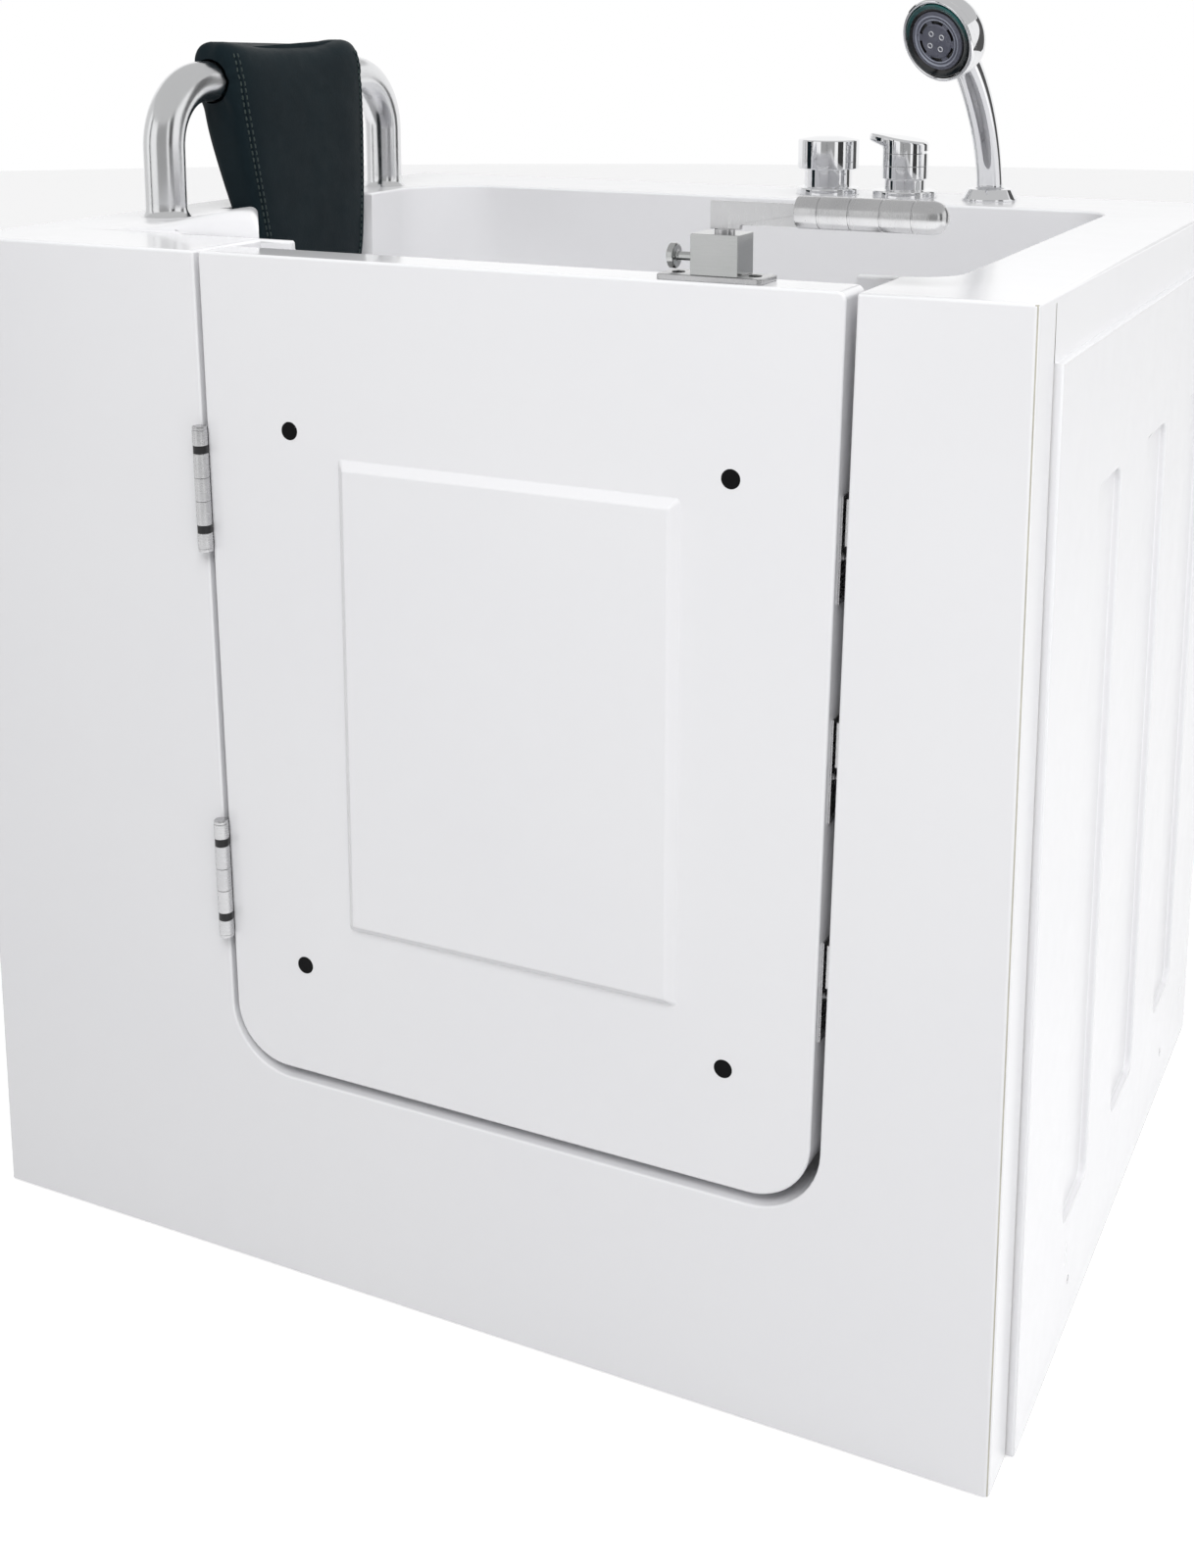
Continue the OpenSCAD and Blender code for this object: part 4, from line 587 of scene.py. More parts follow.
def grab_rail():
    y0, y1, top, bend, r = RAIL_Y[0], RAIL_Y[1], RAIL_TOP, 65.0, 21.0
    feet = [0, 0.8, 1.8, 3, 4.5, 6.5, 9, 14, 30]
    pts = [(RAIL_X, y0, RIM + h) for h in feet]
    pts += arc((RAIL_X, y0 + bend, top - bend), (0, 1, 0), (0, 0, 1), bend, 180, 90, 20)
    pts += [(RAIL_X, y0 + bend + (y1 - y0 - 2 * bend) * k / 12, top) for k in range(1, 12)]
    pts += arc((RAIL_X, y1 - bend, top - bend), (0, 1, 0), (0, 0, 1), bend, 90, 0, 20)
    pts += [(RAIL_X, y1, RIM + h) for h in reversed(feet)]
    n = len(pts)

    def radius(t):
        h = pts[round(t * (n - 1))][2] - RIM
        return r + (4.6 * (1 - h / 9) ** 2 if h < 9 else 0.0)

    bm = bmesh.new()
    tube_along(bm, [at(*p) for p in pts], radius, 72)
    piece("rail_tube", bm, (satin_chrome,), "tub", ("grab_rail",), weighted=False)


grab_rail()


# ---------- headrest ----------
REST_Y, REST_TOP, REST_L = 439.0, 1139.0, 259.0


def rest_point(t, side, front):
    """A point of the headrest: t up its height, side from -1 to 1 along the rail, front 0 to 1."""
    x_back = RAIL_X - 30 + 58 * (1 - t) ** 1.55
    x_front = RAIL_X + 30 + 21 * (1 - t) ** 0.75 - 3 * (1 - t) ** 4
    half = 86 + 46 * t ** 0.7
    ears = 1 - math.exp(-((abs(side) - 0.86) / 0.34) ** 2)
    z = REST_TOP - REST_L * (1 - t) - 7.5 * smooth((t - 0.6) / 0.35) * ears
    return x_back + (x_front - x_back) * front, REST_Y + side * half, z


def rest_skin(t, a):
    """The cushion's skin at the height t and the angle a."""
    s = (1 - abs(2 * t - 1) ** 11) ** 0.36
    c, d = math.cos(a), math.sin(a)
    f = math.copysign(abs(c) ** 0.34, c) * s
    cut = 0.17 if t > 0.5 else 0.1
    w = math.copysign(abs(d) ** 0.34, d) * (1 - cut + cut * s)
    x, y, z = rest_point(t, w, 0.5 + 0.5 * f)
    # Gathers that run out from where the rail enters the cushion's ends
    reach = math.hypot(x - RAIL_X, (z - RAIL_TOP) * 0.8)
    round_rail = math.atan2(z - RAIL_TOP, x - RAIL_X)
    near = smooth((abs(w) - 0.80) / 0.15)
    pull = near * math.exp(-((reach - 25) / 15) ** 2)
    waves = 1.6 + 0.9 * math.cos(7 * round_rail + 0.6) + 0.5 * math.cos(12 * round_rail)
    y -= math.copysign(1, w) * pull * waves
    return x, y, z


def seam(turn):
    """A piped seam with a row of stitches on each side, along one edge of the cushion's front."""
    ts = [0.06 + 0.89 * k / 160 for k in range(161)]
    line = [Vector(rest_skin(t, turn)) for t in ts]
    side = math.copysign(1, turn)
    bm = bmesh.new()
    tube_along(bm, [at(*p) for p in line], lambda t: 1.5, 16)
    piece("headrest_piping" + ("_far" if side > 0 else ""), bm, (leather,), "headrest",
          ("headrest_pad",), weighted=False)
    bm = bmesh.new()
    for row in (-0.075, 0.075):
        run = [Vector(rest_skin(t, turn + row)) for t in ts]
        gone = 0.0
        for k in range(160):
            step = (run[k + 1] - run[k]).length
            gone += step
            if gone < 6.5:
                continue
            gone = 0.0
            along = (run[k + 1] - run[k]).normalized()
            out = (line[k] - Vector((RAIL_X + 10, REST_Y, line[k].z))).normalized()
            mid = run[k] + out * 0.3
            tube_along(bm, [at(*(mid + along * d)) for d in (-2.3, -1.9, 0, 1.9, 2.3)],
                       lambda t: 0.95 * math.sqrt(max(0.12, 1 - (2 * t - 1) ** 6)), 10)
    piece("headrest_stitches" + ("_far" if side > 0 else ""), bm, (thread,), "headrest",
          ("headrest_pad",), weighted=False)


def headrest():
    bm = bmesh.new()
    levels, around = 110, 256
    rings = []
    for k in range(levels + 1):
        t = min(max((1 - math.cos(math.pi * k / levels)) / 2, 0.0015), 0.9985)
        rings.append([at(*rest_skin(t, 2 * math.pi * i / around)) for i in range(around)])
    skin(bm, rings)
    ob = baked(outward(bm))
    tunnel = bmesh.new()
    lathe(tunnel, [(0, -140), (23.1, -140), (23.1, 140), (0, 140)], at(RAIL_X, REST_Y, RAIL_TOP),
          (0, 1, 0), 64)
    combine(ob, outward(tunnel))
    pad = piece("headrest_cushion", taken(ob), (leather,), "headrest", ("headrest_pad",), angle=60,
                weighted=False, fix=False)


thread = surface("thread", (0.040, 0.055, 0.052), 0.6, shade=(0.025, 0.038, 0.036), vary=200.0,
                 uneven=(0.1, 30.0), bumps=((1600.0, 0.4, 0.0003),))
leather = surface("leather", (0.0048, 0.0105, 0.0138), 0.50, shade=(0.0065, 0.0135, 0.0170), vary=16.0,
                  uneven=(0.06, 50.0), bumps=((420.0, 0.35, 0.0004), (22.0, 0.25, 0.003)), specular=0.11)
headrest()
seam(-math.pi / 4)
seam(math.pi / 4)


# ---------- taps ----------
def turned_form(bm, points, ease, origin, axis=(0, 0, 1), steps=96):
    """A turned solid: its outline's corners are eased, so that no edge is razor sharp."""
    lathe(bm, fillet(points, ease, 4, closed=False), origin, axis, steps)


def diverter():
    place = at(TAPS[0], TAP_Y, RIM)
    bm = bmesh.new()
    turned_form(bm, [(0, -40), (16, -40), (16, 0), (36, 0), (36, 8), (26.75, 8), (26.75, 29), (5.3, 29),
                     (5.3, -38), (0, -38)], [0, 0.5, 0, 0.6, 2.2, 0.9, 0.6, 0, 0, 0], place)
    piece("diverter_body", bm, (chrome,), "tub", ("diverter_base",))
    bm = bmesh.new()
    turned_form(bm, [(0, -58), (5, -58), (5, 29.3), (34.75, 29.3), (34.75, 61.9), (13.0, 65.6), (0, 65.6)],
                [0, 0.5, 0, 1.0, 1.6, 60.0, 0], place)
    piece("diverter_cap", bm, (chrome,), "diverter_handle", ("diverter_knob",))


diverter()


def mixer():
    place = at(TAPS[1], TAP_Y, RIM)
    bm = bmesh.new()
    turned_form(bm, [(0, 8), (18.5, 8), (18.5, 34.7), (25.7, 34.7), (25.7, 21), (22.9, 19.6), (22.9, 8),
                     (36, 8), (36, 0), (16, 0), (16, -60), (0, -60)],
                [0, 0, 0, 0.3, 0.8, 0.8, 0.9, 2.0, 0.6, 0, 0.5, 0], place)
    turned_form(bm, [(0, 0), (10, 0), (10, 20), (0, 20)], [0, 0.5, 0.5, 0], at(TAPS[1], TAP_Y, 915),
                (-1, 0, 0), 48)
    piece("mixer_column", bm, (chrome,), "tub", ("mixer_body",))
    bm = bmesh.new()
    turned_form(bm, [(0, 46), (5.1, 46), (5.1, 35), (25.7, 35), (25.7, 49), (0, 49)],
                [0, 0, 0, 0.3, 0.3, 0], place)
    block(683, 691.8, 769, 781, 1013.8, 1019, bm)
    turned_form(bm, [(0, -6), (3.8, -6), (3.8, 6), (0, 6)], [0, 0.4, 0.4, 0], at(689, TAP_Y, 1019),
                (0, 1, 0), 40)
    piece("mixer_collar", bm, (chrome,), "mixer_swivel", ("mixer_hub",))


mixer()


def beaked_lever():
    """A round cap whose left side runs out into a finger beak, under one sloping top."""
    r, z0, reach, edge, n = 25.7, 1014.3, 16.3, 3.4, 144

    def crown(x):
        return 12.9 + (20.7 - x) * 0.146 + 0.5 * (1 - (x / 30) ** 2)

    def outline(s, inset):
        ring = []
        for i in range(n):
            a = 2 * math.pi * i / n
            off = (a - math.pi) / 0.43
            q = r + reach * s * math.exp(-off * off) - inset
            ring.append((q * math.cos(a), q * math.sin(a)))
        return ring

    rings = []
    for k in range(25):
        v = k / 24
        s = smooth((v - 0.30) / 0.48)
        ring = []
        for x, y in outline(s, 0):
            low = max(0.0, (x - 18) * 0.483)
            high = crown(x) - edge * (1.0 if x > -20 else 0.9)
            ring.append((x, y, low + v * (high - low)))
        rings.append(ring)
    for a in quarter(6)[1:]:
        top = outline(1, edge * (1 - math.cos(a)))
        rings.append([(x, y, crown(x) - edge * (1 - math.sin(a))) for x, y in top])
    for shrink in (0.8, 0.55, 0.3, 0.1):
        rings.append([(x * shrink, y * shrink, crown(x * shrink)) for x, y in outline(1, edge)])
    bm = bmesh.new()
    skin(bm, [[at(TAPS[1] + x, TAP_Y + y, z0 + z) for x, y, z in ring] for ring in rings])
    ob = baked(outward(bm))
    # Room for the hub's block, on which the lever turns
    combine(ob, block(679, 694.8, 768.7, 781.3, 1005, 1023.5))
    piece("mixer_beak", taken(ob), (chrome,), "mixer_handle", ("mixer_lever",), angle=40, fix=False)


beaked_lever()


# ---------- hand shower ----------
DOCK = at(TAPS[2], TAP_Y, RIM)
HEAD = (Matrix.Translation(at(748.36, 653.847, 1144.176)) @ Matrix.Rotation(math.radians(-20.9), 4, "Z")
        @ Matrix.Rotation(math.radians(107.5), 4, "X"))


def dock():
    bm = bmesh.new()
    turned_form(bm, [(0, -75), (16, -75), (16, 0), (30, 0), (30, 2.4), (24.4, 13), (18, 13), (16.2, 11.4),
                     (12.1, 11.4), (12.1, -73), (0, -73)],
                [0, 0.5, 0, 0.5, 1.8, 1.6, 0.6, 0.4, 0.2, 0, 0], DOCK)
    piece("shower_socket", bm, (chrome,), "tub", ("shower_dock",))


dock()


def handset():
    bm = bmesh.new()
    turned_form(bm, [(0, -20), (12, -20), (12, 14), (0, 14)], [0, 0.8, 0, 0], DOCK, steps=64)
    radius, low, high, turn = 234.0, 8.5, 57.0, math.radians(9.3)
    back = (math.sin(turn), math.cos(turn), 0)
    reach = radius * math.cos(math.radians(low))
    cz = RIM + 13.4 - radius * math.sin(math.radians(low))
    path = arc((TAPS[2] - reach * back[0], TAP_Y - reach * back[1], cz), back, (0, 0, 1), radius,
               low, high, 64)

    def girth(t):
        foot = 1.0 - 0.05 * max(0.0, 1 - t / 0.02) ** 2
        return (14.6 + 1.7 * smooth(t / 0.8)) * foot

    def section(a, t):
        # Flats along the front and the back, with a shallow inlay between two fine ridges
        flat = 1 - 0.035 * (0.5 - 0.5 * math.cos(4 * a))
        inlay = 0.022 * smooth((t - 0.05) / 0.05) * smooth((0.88 - t) / 0.1)
        for side in (math.pi, 0.0):
            off = abs((a - side + math.pi) % (2 * math.pi) - math.pi)
            flat -= inlay * smooth((0.62 - off) / 0.1)
        return flat

    tube_along(bm, [at(*p) for p in path], girth, 96, section)
    shell = bmesh.new()
    outline = [(0, -22.4), (18, -21.9), (30, -19.6), (38, -15.4), (42.2, -10.2), (43.6, -4), (43.9, 6),
               (44, 14.2), (43.4, 16.2), (42.2, 17), (40.6, 16.7), (39.7, 15.6), (39.4, 14), (39.4, 9),
               (6.1, 9), (6.1, -4), (0, -4)]
    lathe(shell, outline, steps=128)
    # Clamp ring behind the rim
    lathe(shell, [(43.7, 8.2), (44.0, 8.4), (44.0, 9.2), (43.7, 9.4)], steps=128)
    merge(bm, shell, HEAD)
    outward(bm)
    mark = bmesh.new()
    for a in range(12):
        a0, a1 = (math.radians(118 + 17 * (a + d) / 12) for d in (0, 1))
        for (ra, ha), (rb, hb) in (((44.15, 11.0), (44.15, 13.9)), ((44.15, 13.9), (43.7, 16.0)),
                                   ((43.7, 16.0), (42.7, 17.05))):
            quad = [(ra * math.cos(a0), ra * math.sin(a0), ha), (ra * math.cos(a1), ra * math.sin(a1), ha),
                    (rb * math.cos(a1), rb * math.sin(a1), hb), (rb * math.cos(a0), rb * math.sin(a0), hb)]
            mark.faces.new([mark.verts.new(Vector(q) / 1000) for q in quad])
    bmesh.ops.remove_doubles(mark, verts=mark.verts, dist=1e-6)
    count = len(bm.faces)
    merge(bm, mark, HEAD)
    bm.faces.ensure_lookup_table()
    for f in bm.faces[count:]:
        f.material_index = 1
    piece("shower_handset", bm, (chrome, black_plastic), "handset", ("hand_shower",),
          angle=50, fix=False)


handset()


# Places of the spray plate's materials
GLOSS_AND_HOLE_SHADE, GREY, TEAL, RIB_HIGHLIGHT, NOZZLE = range(5)


def spray_plate():
    def in_slot(a):
        return (a * 6 / (2 * math.pi)) % 1.0 < 0.62

    def slotted(a):
        return 14.8 if in_slot(a) else 16.5

    def finish(r, a):
        # The teal ring carries a painted reflection over its upper half
        if r > 34.2:
            return TEAL
        if r > 31:
            return GLOSS_AND_HOLE_SHADE
        # Slot floors are painted black: painted shade of the spray openings
        if 18.6 < r < 21.8:
            return GLOSS_AND_HOLE_SHADE if in_slot(a) else GREY
        # The raised ribs are painted lighter: painted highlight
        return RIB_HIGHLIGHT if 25.4 < r < 27.5 or 22.2 < r < 23.6 else GREY

    bm = bmesh.new()
    rings = [(39, 9.2), (39, 16.4), (38.6, 17.3), (37.6, 17.8), (37.2, 17.7), (36.2, 17.3), (34.4, 16.8),
             (33, 16.0), (31.4, 15.2), (31.0, 15.3), (30.7, 16.4), (30.1, 16.8), (27.9, 16.9), (27.3, 17.5),
             (26.6, 17.8), (25.8, 17.5), (25.3, 16.7), (24.0, 16.4), (23.4, 17.0), (22.7, 17.2), (22.1, 16.9),
             (21.8, 16.6), (21.6, slotted), (18.9, slotted), (18.5, 16.7), (18.0, 17.4), (17.2, 17.7),
             (12, 17.9), (6, 18.0), (0, 18.0)]
    lathe(bm, rings, steps=144, finish=finish)
    # Back of the plate with its spigot
    lathe(bm, [(39, 9.2), (6.0, 9.2), (6.0, -3.0), (0, -3.0)], steps=144)
    bmesh.ops.remove_doubles(bm, verts=bm.verts, dist=1e-6)
    outward(bm)
    for k in range(4):
        a = math.radians(28 + 90 * k)
        spot = Vector((9.2 * math.cos(a), 9.2 * math.sin(a), 0)) / 1000
        nib = bmesh.new()
        # Each nozzle's hole floor is painted black: painted shade
        lathe(nib, [(3.1, 17.6), (3.0, 18.5), (2.6, 18.8), (2.2, 18.6), (2.0, 18.0), (1.9, 16.8), (0, 16.8)],
              steps=32, finish=lambda r, a: GLOSS_AND_HOLE_SHADE if r < 2.05 else NOZZLE)
        merge(bm, nib, Matrix.Translation(spot))
    bmesh.ops.transform(bm, matrix=HEAD, verts=bm.verts)
    piece("spray_plate", bm, (gloss_black_and_hole_shade, spray_grey, painted_reflection_teal, rib_painted_highlight, nozzle_white_and_glint), "spray_dial",
          ("spray_face",), angle=40, fix=False)


# Real gloss black of the outer ring, also used as painted shade on the slot and nozzle-hole floors
gloss_black_and_hole_shade = surface("gloss_black_and_hole_shade", (0.006, 0.006, 0.007), 0.12, shade=(0.01, 0.01, 0.011), vary=20.0,
                      uneven=(0.04, 70.0), bumps=((500.0, 0.04, 0.0002),))
spray_grey = surface("spray_grey", (0.10, 0.105, 0.14), 0.30, shade=(0.14, 0.145, 0.18), vary=60.0,
                     uneven=(0.08, 80.0), bumps=((700.0, 0.1, 0.0002),), metal=0.25)
# Lighter colour of the raised ribs: painted highlight
rib_painted_highlight = surface("rib_painted_highlight", (0.34, 0.36, 0.43), 0.24, shade=(0.28, 0.30, 0.36), vary=60.0,
                   uneven=(0.08, 30.0), bumps=((700.0, 0.1, 0.0002),), metal=0.3)
# White nozzle rings: white silicone, and they also stand in for a painted glint below each hole
nozzle_white_and_glint = surface("nozzle_white_and_glint", (0.66, 0.67, 0.70), 0.4, shade=(0.58, 0.59, 0.62), vary=60.0,
                       bumps=((700.0, 0.1, 0.0002),))


def painted_reflection_teal_finish():
    """A dark ring tinted teal, with a painted reflection: teal over its upper half, near black below."""
    m = surface("painted_reflection_teal", (0.012, 0.10, 0.095), 0.16, shade=(0.01, 0.05, 0.055), vary=25.0,
                uneven=(0.05, 30.0), bumps=((500.0, 0.05, 0.0002),))
    nt = m.node_tree
    height = wire(nt, "SeparateXYZ", {0: wire(nt, "TexCoord", {})["Object"]})["Z"]
    socket = nt.nodes["Principled BSDF"].inputs["Base Color"]
    # Painted reflection: the ring's upper half shows teal, its lower half near black
    upper = ramp(nt, height, 1.138, 1.162, 0.0, 1.0)
    nt.links.new(blend_colour(nt, upper, (0.006, 0.009, 0.011), socket.links[0].from_socket), socket)
    return m


painted_reflection_teal = painted_reflection_teal_finish()
spray_plate()


# ---------- latch on the door's top ----------
SPINDLE_X, LATCH_Y, PLATE_Z, HOUSING_TOP, LOCK_Z = 762.5, 22.5, 969.5, 1001.5, 982.0
GRIP_X, GRIP_Z = 822.3, 1020.0


def eased_box(bm, x0, x1, y0, y1, z0, z1, ease, steps):
    """A block whose edges are all eased."""
    one = block(x0, x1, y0, y1, z0, z1)
    bevel(one, one.edges[:] + one.verts[:], ease, steps)
    merge(bm, one)


def base_plate():
    x0, x1, y0, y1 = SPINDLE_X - 50.5, SPINDLE_X + 37.5, LATCH_Y - 18, LATCH_Y + 18
    bm = bmesh.new()
    rings = []
    for inset, z in ((0.5, RIM), (0, RIM + 0.5), (0, RIM + 3.6), (0.25, RIM + 4.1), (0.9, RIM + 4.5)):
        a, b, c, d = x0 + inset, x1 - inset, y0 + inset, y1 - inset
        rings.append([at(x, y, z) for x, y in fillet([(a, c), (b, c), (b, d), (a, d)], 4, 8)])
    skin(bm, rings)
    ob = baked(outward(bm))
    holes = bmesh.new()
    turned_form(holes, [(0, -2), (8.3, -2), (8.3, 8), (0, 8)], 0, at(SPINDLE_X, LATCH_Y, RIM), steps=48)
    for x in SCREWS:
        turned_form(holes, [(0, -2), (2.1, -2), (2.1, 1.4), (5.5, 4.52), (5.5, 7), (0, 7)], 0,
                    at(x, LATCH_Y, RIM), steps=48)
    combine(ob, outward(holes))
    piece("latch_plate", taken(ob), (brushed,), "door", ("latch_base_plate",), fix=False)


SCREWS = (SPINDLE_X - 38.5, SPINDLE_X + 25.5)
base_plate()


def plate_screws():
    bm = bmesh.new()
    for x in SCREWS:
        turned_form(bm, [(0, -12), (2, -12), (2, 1.5), (5.3, 4.4), (5.2, 4.9), (3.4, 5.2), (1.9, 5.2),
                         (1.9, 3.4), (0, 3.4)], [0, 0.4, 0, 0.2, 0.3, 0.4, 0, 0, 0],
                    at(x, LATCH_Y, RIM), steps=48)
    piece("latch_screws", bm, (black_steel,), "door", ("latch_plate_screws",))


black_steel = surface("black_steel", (0.012, 0.012, 0.013), 0.42, 1.0, shade=(0.022, 0.022, 0.023), vary=60.0,
                      bumps=((900.0, 0.1, 0.0002),))
plate_screws()


def housing():
    """The latch's block, bored upright for the spindle and level for the lock knob's shaft."""
    x0, x1, y0, y1 = SPINDLE_X - 22, SPINDLE_X + 17.2, LATCH_Y - 16, LATCH_Y + 16
    bm = bmesh.new()
    eased_box(bm, x0, x1, y0, y1, PLATE_Z, HOUSING_TOP, 0.45, 3)
    ob = baked(bm)
    for r, length, start, axis in ((8.05, 40, at(SPINDLE_X, LATCH_Y, PLATE_Z), (0, 0, 1)),
                                   (3.6, 16, at(x0 - 0.5, LATCH_Y, LOCK_Z), (1, 0, 0))):
        bore = bmesh.new()
        turned_form(bore, [(0, -1), (r, -1), (r, length), (0, length)], 0, start, axis, 64)
        combine(ob, outward(bore))
    piece("latch_block", taken(ob), (polished_steel,), "door",
          ("latch_housing",), fix=False)


polished_steel = surface("polished_steel", (0.56, 0.565, 0.565), 0.17, 1.0, shade=(0.50, 0.51, 0.505),
                         vary=14.0, uneven=(0.05, 45.0), stretch=(1, 1, 10),
                         bumps=((700.0, 0.05, 0.0002, (0.05, 1, 1)),), edge_tone=((0.75, 0.75, 0.75), 0.0005))
housing()


def lever_plate():
    """The cranked flat bar: an upright stem over the housing that runs out to the grip."""
    x0, x1, x2 = SPINDLE_X - 11.5, SPINDLE_X + 13.5, GRIP_X
    outline = [(x0, 1004.5), (x1, 1004.5), (x1, 1008.3), (x2, 1008.3), (x2, 1014.0), (x2 + 45, 1014.0),
               (x2 + 45, 1026.0), (x0, 1026.0)]
    bm = bmesh.new()
    ease = 0.55
    rings = []
    flat = fillet(outline, [0.5, 0.5, 1.6, 0, 0, 0.4, 0.4, 0.8], 4)
    after, before = flat[1:] + flat[:1], flat[-1:] + flat[:-1]
    along = [(Vector(a) - Vector(b)).normalized() for a, b in zip(after, before)]
    for inset, y in ((ease, 20.0), (0.16, 20.16), (0, 20.0 + ease), (0, 25.0 - ease), (0.16, 24.84),
                     (ease, 25.0)):
        rings.append([at(p[0] - t.y * inset, y, p[1] + t.x * inset) for p, t in zip(flat, along)])
    skin(bm, rings)
    eased_box(bm, SPINDLE_X - 5, SPINDLE_X + 5, 20, 25, HOUSING_TOP - 5.4, HOUSING_TOP + 4.0, 0.3, 2)
    piece("lever_bar", bm, (bright_steel,), "latch_handle", ("latch_lever",))


bright_steel = surface("bright_steel", (0.68, 0.68, 0.69), 0.30, 1.0, shade=(0.60, 0.60, 0.61), vary=20.0,
                       uneven=(0.06, 50.0), stretch=(14, 1, 1), bumps=((900.0, 0.10, 0.0002, (0.04, 1, 1)),),
                       edge_tone=((0.86, 0.86, 0.86), 0.0005))
lever_plate()


def grip():
    """A turned bar with four fine grooves and a ball end."""
    length, r = 115.3, 12.4
    profile = [(2.7, 0.0), (r - 0.7, 0.0), (r - 0.2, 0.2), (r, 0.7)]
    span = length - r
    for g in GROOVES:
        profile += [(r, g - 1.05), (r - 0.12, g - 0.85), (r - 0.75, g - 0.7), (r - 0.8, g + 0.7),
                    (r - 0.12, g + 0.85), (r, g + 1.05)]
    profile += [(r * math.cos(a) ** 0.75, span + r * math.sin(a)) for a in quarter(16)[:-1]]
    profile += [(0, length)]
    profile = [(0, 0.0)] + profile
    bm = bmesh.new()
    lathe(bm, profile, at(GRIP_X, LATCH_Y, GRIP_Z), (1, 0, 0), 96)
    piece("grip_bar", bm, (turned,), "latch_handle", ("latch_grip",), weighted=False)


GROOVES = (18.4, 42.6, 66.8, 91.0)
grip()


def lock_button():
    x0 = SPINDLE_X - 45.1
    bm = bmesh.new()
    turned_form(bm, [(0, 0.9), (6.5, 0.9), (7.6, 0), (10, 0), (10, 5.2), (8.6, 5.6), (4.5, 5.6), (3.5, 6.6),
                     (3.5, 30.4), (2.5, 30.6), (2.5, 36.4), (0, 36.4)],
                [0, 0.6, 0.6, 0.8, 0.8, 0.5, 0.6, 0.6, 0, 0, 0.3, 0], at(x0, LATCH_Y, LOCK_Z), (1, 0, 0), 72)
    piece("lock_button", bm, (polished_steel,), "lock_button", ("lock_knob",))


lock_button()


# ---------- hinges ----------
HINGE_Y, BARREL = -7.1, 6.75
KNUCKLES = (3.5, 14, 7, 22, 21, 22, 7, 14, 3.5)
HINGES = (389.0, 755.0)


def below(i):
    return -57.0 + sum(KNUCKLES[:i])


def hinge_place(z):
    return (Matrix.Translation(at(left_side(z) + 2.4 / math.cos(LEAN), HINGE_Y, z))
            @ Matrix.Rotation(-LEAN, 4, "Y"))


def local_box(bm, x0, x1, y0, y1, z0, z1, place, ease=0.0):
    one = bmesh.new()
    cube(one, Vector((x0, y0, z0)) / 1000, Vector((x1, y1, z1)) / 1000)
    if ease:
        bevel(one, one.edges[:] + one.verts[:], ease, 2)
    merge(bm, one, place)


def local_turned(bm, points, ease, place, steps=64):
    one = bmesh.new()
    lathe(one, fillet(points, ease, 3, closed=False), steps=steps)
    merge(bm, one, place)


def hinges():
    leaves = ((-1, (1, 4, 7), 0.0, "hinge_leaf_fixed", "tub", "hinge_jamb_leaves"),
              (1, (3, 5), 0.15, "hinge_leaf_moving", "door", "hinge_door_leaves"))
    for side, own, trim, name, body, node in leaves:
        bm = bmesh.new()
        for z in HINGES:
            place = hinge_place(z)
            x0, x1 = sorted((side * 0.4, side * 2.4))
            local_box(bm, x0, x1, BARREL + 0.3, 42, below(1), below(8), place, 0.25)
            for i in own:
                a, b = below(i) + trim, below(i + 1) - trim
                local_turned(bm, [(3.05, a), (BARREL, a), (BARREL, b), (3.05, b), (3.05, a)],
                             [0, 0.45, 0.45, 0, 0], place)
                local_box(bm, x0, x1, 3.5, BARREL + 0.6, a, b, place)
        piece(name, bm, (brushed,), body, (node,))
    bm = bmesh.new()
    for z in HINGES:
        place = hinge_place(z)
        local_turned(bm, [(0, -57), (BARREL - 0.25, -57), (BARREL - 0.25, -53.5), (3, -53.5), (3, 53.5),
                          (BARREL - 0.25, 53.5), (BARREL - 0.25, 57), (0, 57)],
                     [0, 1.2, 0.4, 0, 0, 0.4, 1.2, 0], place)
    piece("hinge_rods", bm, (brushed,), "tub", ("hinge_pins",))


hinges()


# ---------- plugs and small screws ----------
def plugs():
    bm = bmesh.new()
    for x, z in BOLTS:
        turned_form(bm, [(0, -2.6), (7.7, -2.6), (7.7, 0), (8, 0), (8, 0.3), (6.6, 0.6), (0, 0.6)],
                    [0, 0.3, 0, 0, 0.25, 2.0, 0], at(x, 0, z), (0, -1, 0), 64)
    piece("bolt_plugs", bm, (matt_black,), "door", ("door_plugs",))


matt_black = surface("matt_black", (0.004, 0.004, 0.0045), 0.5, shade=(0.007, 0.007, 0.0075), vary=30.0,
                     uneven=(0.08, 90.0), bumps=((900.0, 0.1, 0.0002),), specular=0.06)
plugs()


def side_screws():
    bm = bmesh.new()
    for y in (237.0, 678.0):
        turned_form(bm, [(0, -25), (2.2, -25), (2.2, -2), (4, -2), (4, -0.5), (3.3, 0), (1.2, 0), (1.2, -1.1),
                         (0, -1.1)], [0, 0.3, 0, 0, 0.4, 0.5, 0.1, 0, 0], at(SIDE_FACE, y, 50), (1, 0, 0), 40)
    piece("cover_screws", bm, (brushed,), "tub", ("side_panel_screws",))


side_screws()


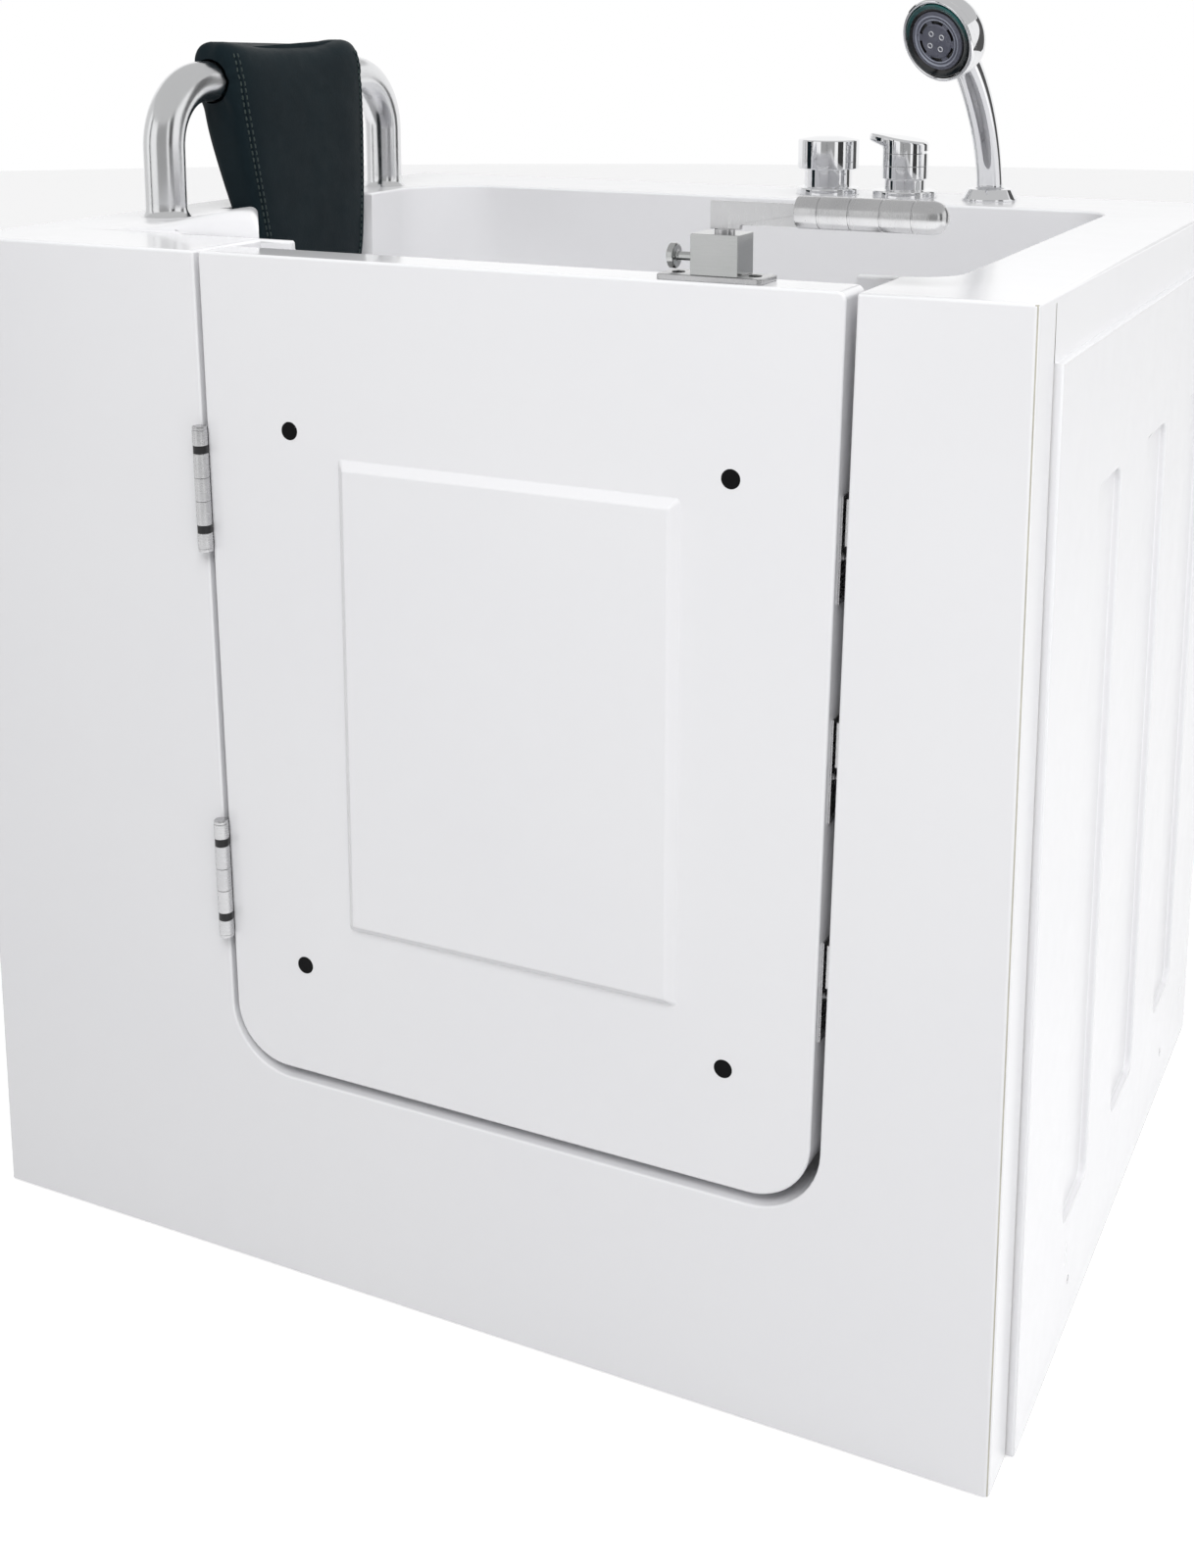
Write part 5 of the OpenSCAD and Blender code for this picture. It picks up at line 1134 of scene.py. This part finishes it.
# ---------- finish of the carried-over nodes ----------
FINISH = {
    "acrylic": acrylic, "panel_white": panel_white, "frame_steel": frame_steel, "hardware_steel": brushed,
    "black_plastic": black_plastic, "seal_rubber": seal_rubber, "chrome": chrome, "brass": brass,
    "ceramic": ceramic, "waste_plastic": waste_plastic, "cushion": black_plastic,
}
slots = {p["node"]: p["material_slot"] for p in frame["record"]["subparts"]}
SPECIAL = {"supply_pipes": copper, "mixed_water_pipe": copper, "latch_spindle": bright_steel}
for name, ob in nodes.items():
    ob.data.materials.clear()
    ob.data.materials.append(SPECIAL.get(name) or FINISH[slots[name]])


# ---------- studio ----------
def seen_by(nt, *kinds):
    """1 for the named kinds of ray, otherwise 0."""
    path = wire(nt, "LightPath", {})
    seen = path[kinds[0]]
    for kind in kinds[1:]:
        seen = wire(nt, "Math", {0: seen, 1: path[kind]}, operation="MAXIMUM")[0]
    return seen


def disc(radius, z):
    bm = bmesh.new()
    bm.faces.new([bm.verts.new((radius * math.cos(a * math.pi / 24), radius * math.sin(a * math.pi / 24), z))
                  for a in range(48)])
    return bm


def studio_floor():
    m, nt, b = shader("studio_floor")
    glow = wire(nt, "Math", {0: seen_by(nt, "Is Camera Ray", "Is Glossy Ray"), 1: 0.60},
                operation="MULTIPLY")[0]
    fill(nt, b, {"Base Color": (0.62, 0.62, 0.625, 1), "Roughness": 0.7, "Specular IOR Level": 0.2,
                 "Emission Color": (1, 1, 1, 1), "Emission Strength": glow})
    mesh = meshed(disc(14, 0), "floor")
    new_object("floor", mesh, (m,))


studio_floor()

world = bpy.data.worlds.new("studio")
scene.world = world
world.use_nodes = True
nt = world.node_tree
rays = seen_by(nt, "Is Camera Ray", "Is Glossy Ray", "Is Transmission Ray")
fill(nt, nt.nodes["Background"], {"Color": (1, 1, 1, 1), "Strength": ramp(nt, rays, 0.0, 1.0, 0.39, 1.0)})


def lamp(name, place, aim, size, power):
    data = bpy.data.lights.new(name, "AREA")
    data.shape = "RECTANGLE"
    data.size, data.size_y = size
    data.energy = power
    ob = bpy.data.objects.new(name, data)
    scene.collection.objects.link(ob)
    ob.location = place
    ob.rotation_euler = (Vector(aim) - Vector(place)).to_track_quat("-Z", "Y").to_euler()
    ob.visible_glossy = False


lamp("top", (0.2, 0.3, 3.6), (0, 0, 0.6), (3.0, 3.0), 24)
lamp("key", (0.9, -2.8, 3.3), (0, 0.2, 0.7), (2.4, 1.6), 90)
lamp("right", (3.6, 0.4, 1.6), (0.4, 0, 0.5), (2.0, 2.4), 43)
lamp("near_right", (2.0, -1.9, 0.75), (0.45, -0.4, 0.6), (0.5, 1.0), 3)


# Flags and reflectors of the studio: only polished surfaces show them
def hang(name, bm, shade):
    """Makes a card that only reflections show."""
    m, nt, b = shader(name)
    fill(nt, b, {"Base Color": (0, 0, 0, 1), "Specular IOR Level": 0.0, "Emission Color": (1, 1, 1, 1),
                 "Emission Strength": shade})
    ob = new_object(name, meshed(bm, name), (m,))
    ob.visible_camera = ob.visible_diffuse = ob.visible_shadow = ob.visible_transmission = False


def card(name, turn, width, shade):
    """An upright card, turned from behind the camera to the right by an angle in degrees."""
    distance, low, high = 4.2, 0.01, 3.2
    bm = bmesh.new()
    columns = []
    for k in range(9):
        a = VIEW + math.radians(turn + width * (k / 8 - 0.5))
        x, y = distance * math.sin(a), -distance * math.cos(a)
        columns.append((bm.verts.new((x, y, low)), bm.verts.new((x, y, high))))
    for (p, q), (r, s) in zip(columns, columns[1:]):
        bm.faces.new((p, r, s, q))
    hang(name, bm, shade)


hang("ceiling", disc(4.3, 3.3), 0.6)
for name, turn, width, shade in (("wall_grey", -8, 56, 0.37), ("flag_right", 44, 22, 0.05),
                                 ("flag_far_right", 112, 22, 0.10), ("flag_left", -74, 7, 0.01),
                                 ("wall_left", -112, 34, 0.72)):
    card(name, turn, width, shade)

scene.view_settings.view_transform = "Standard"
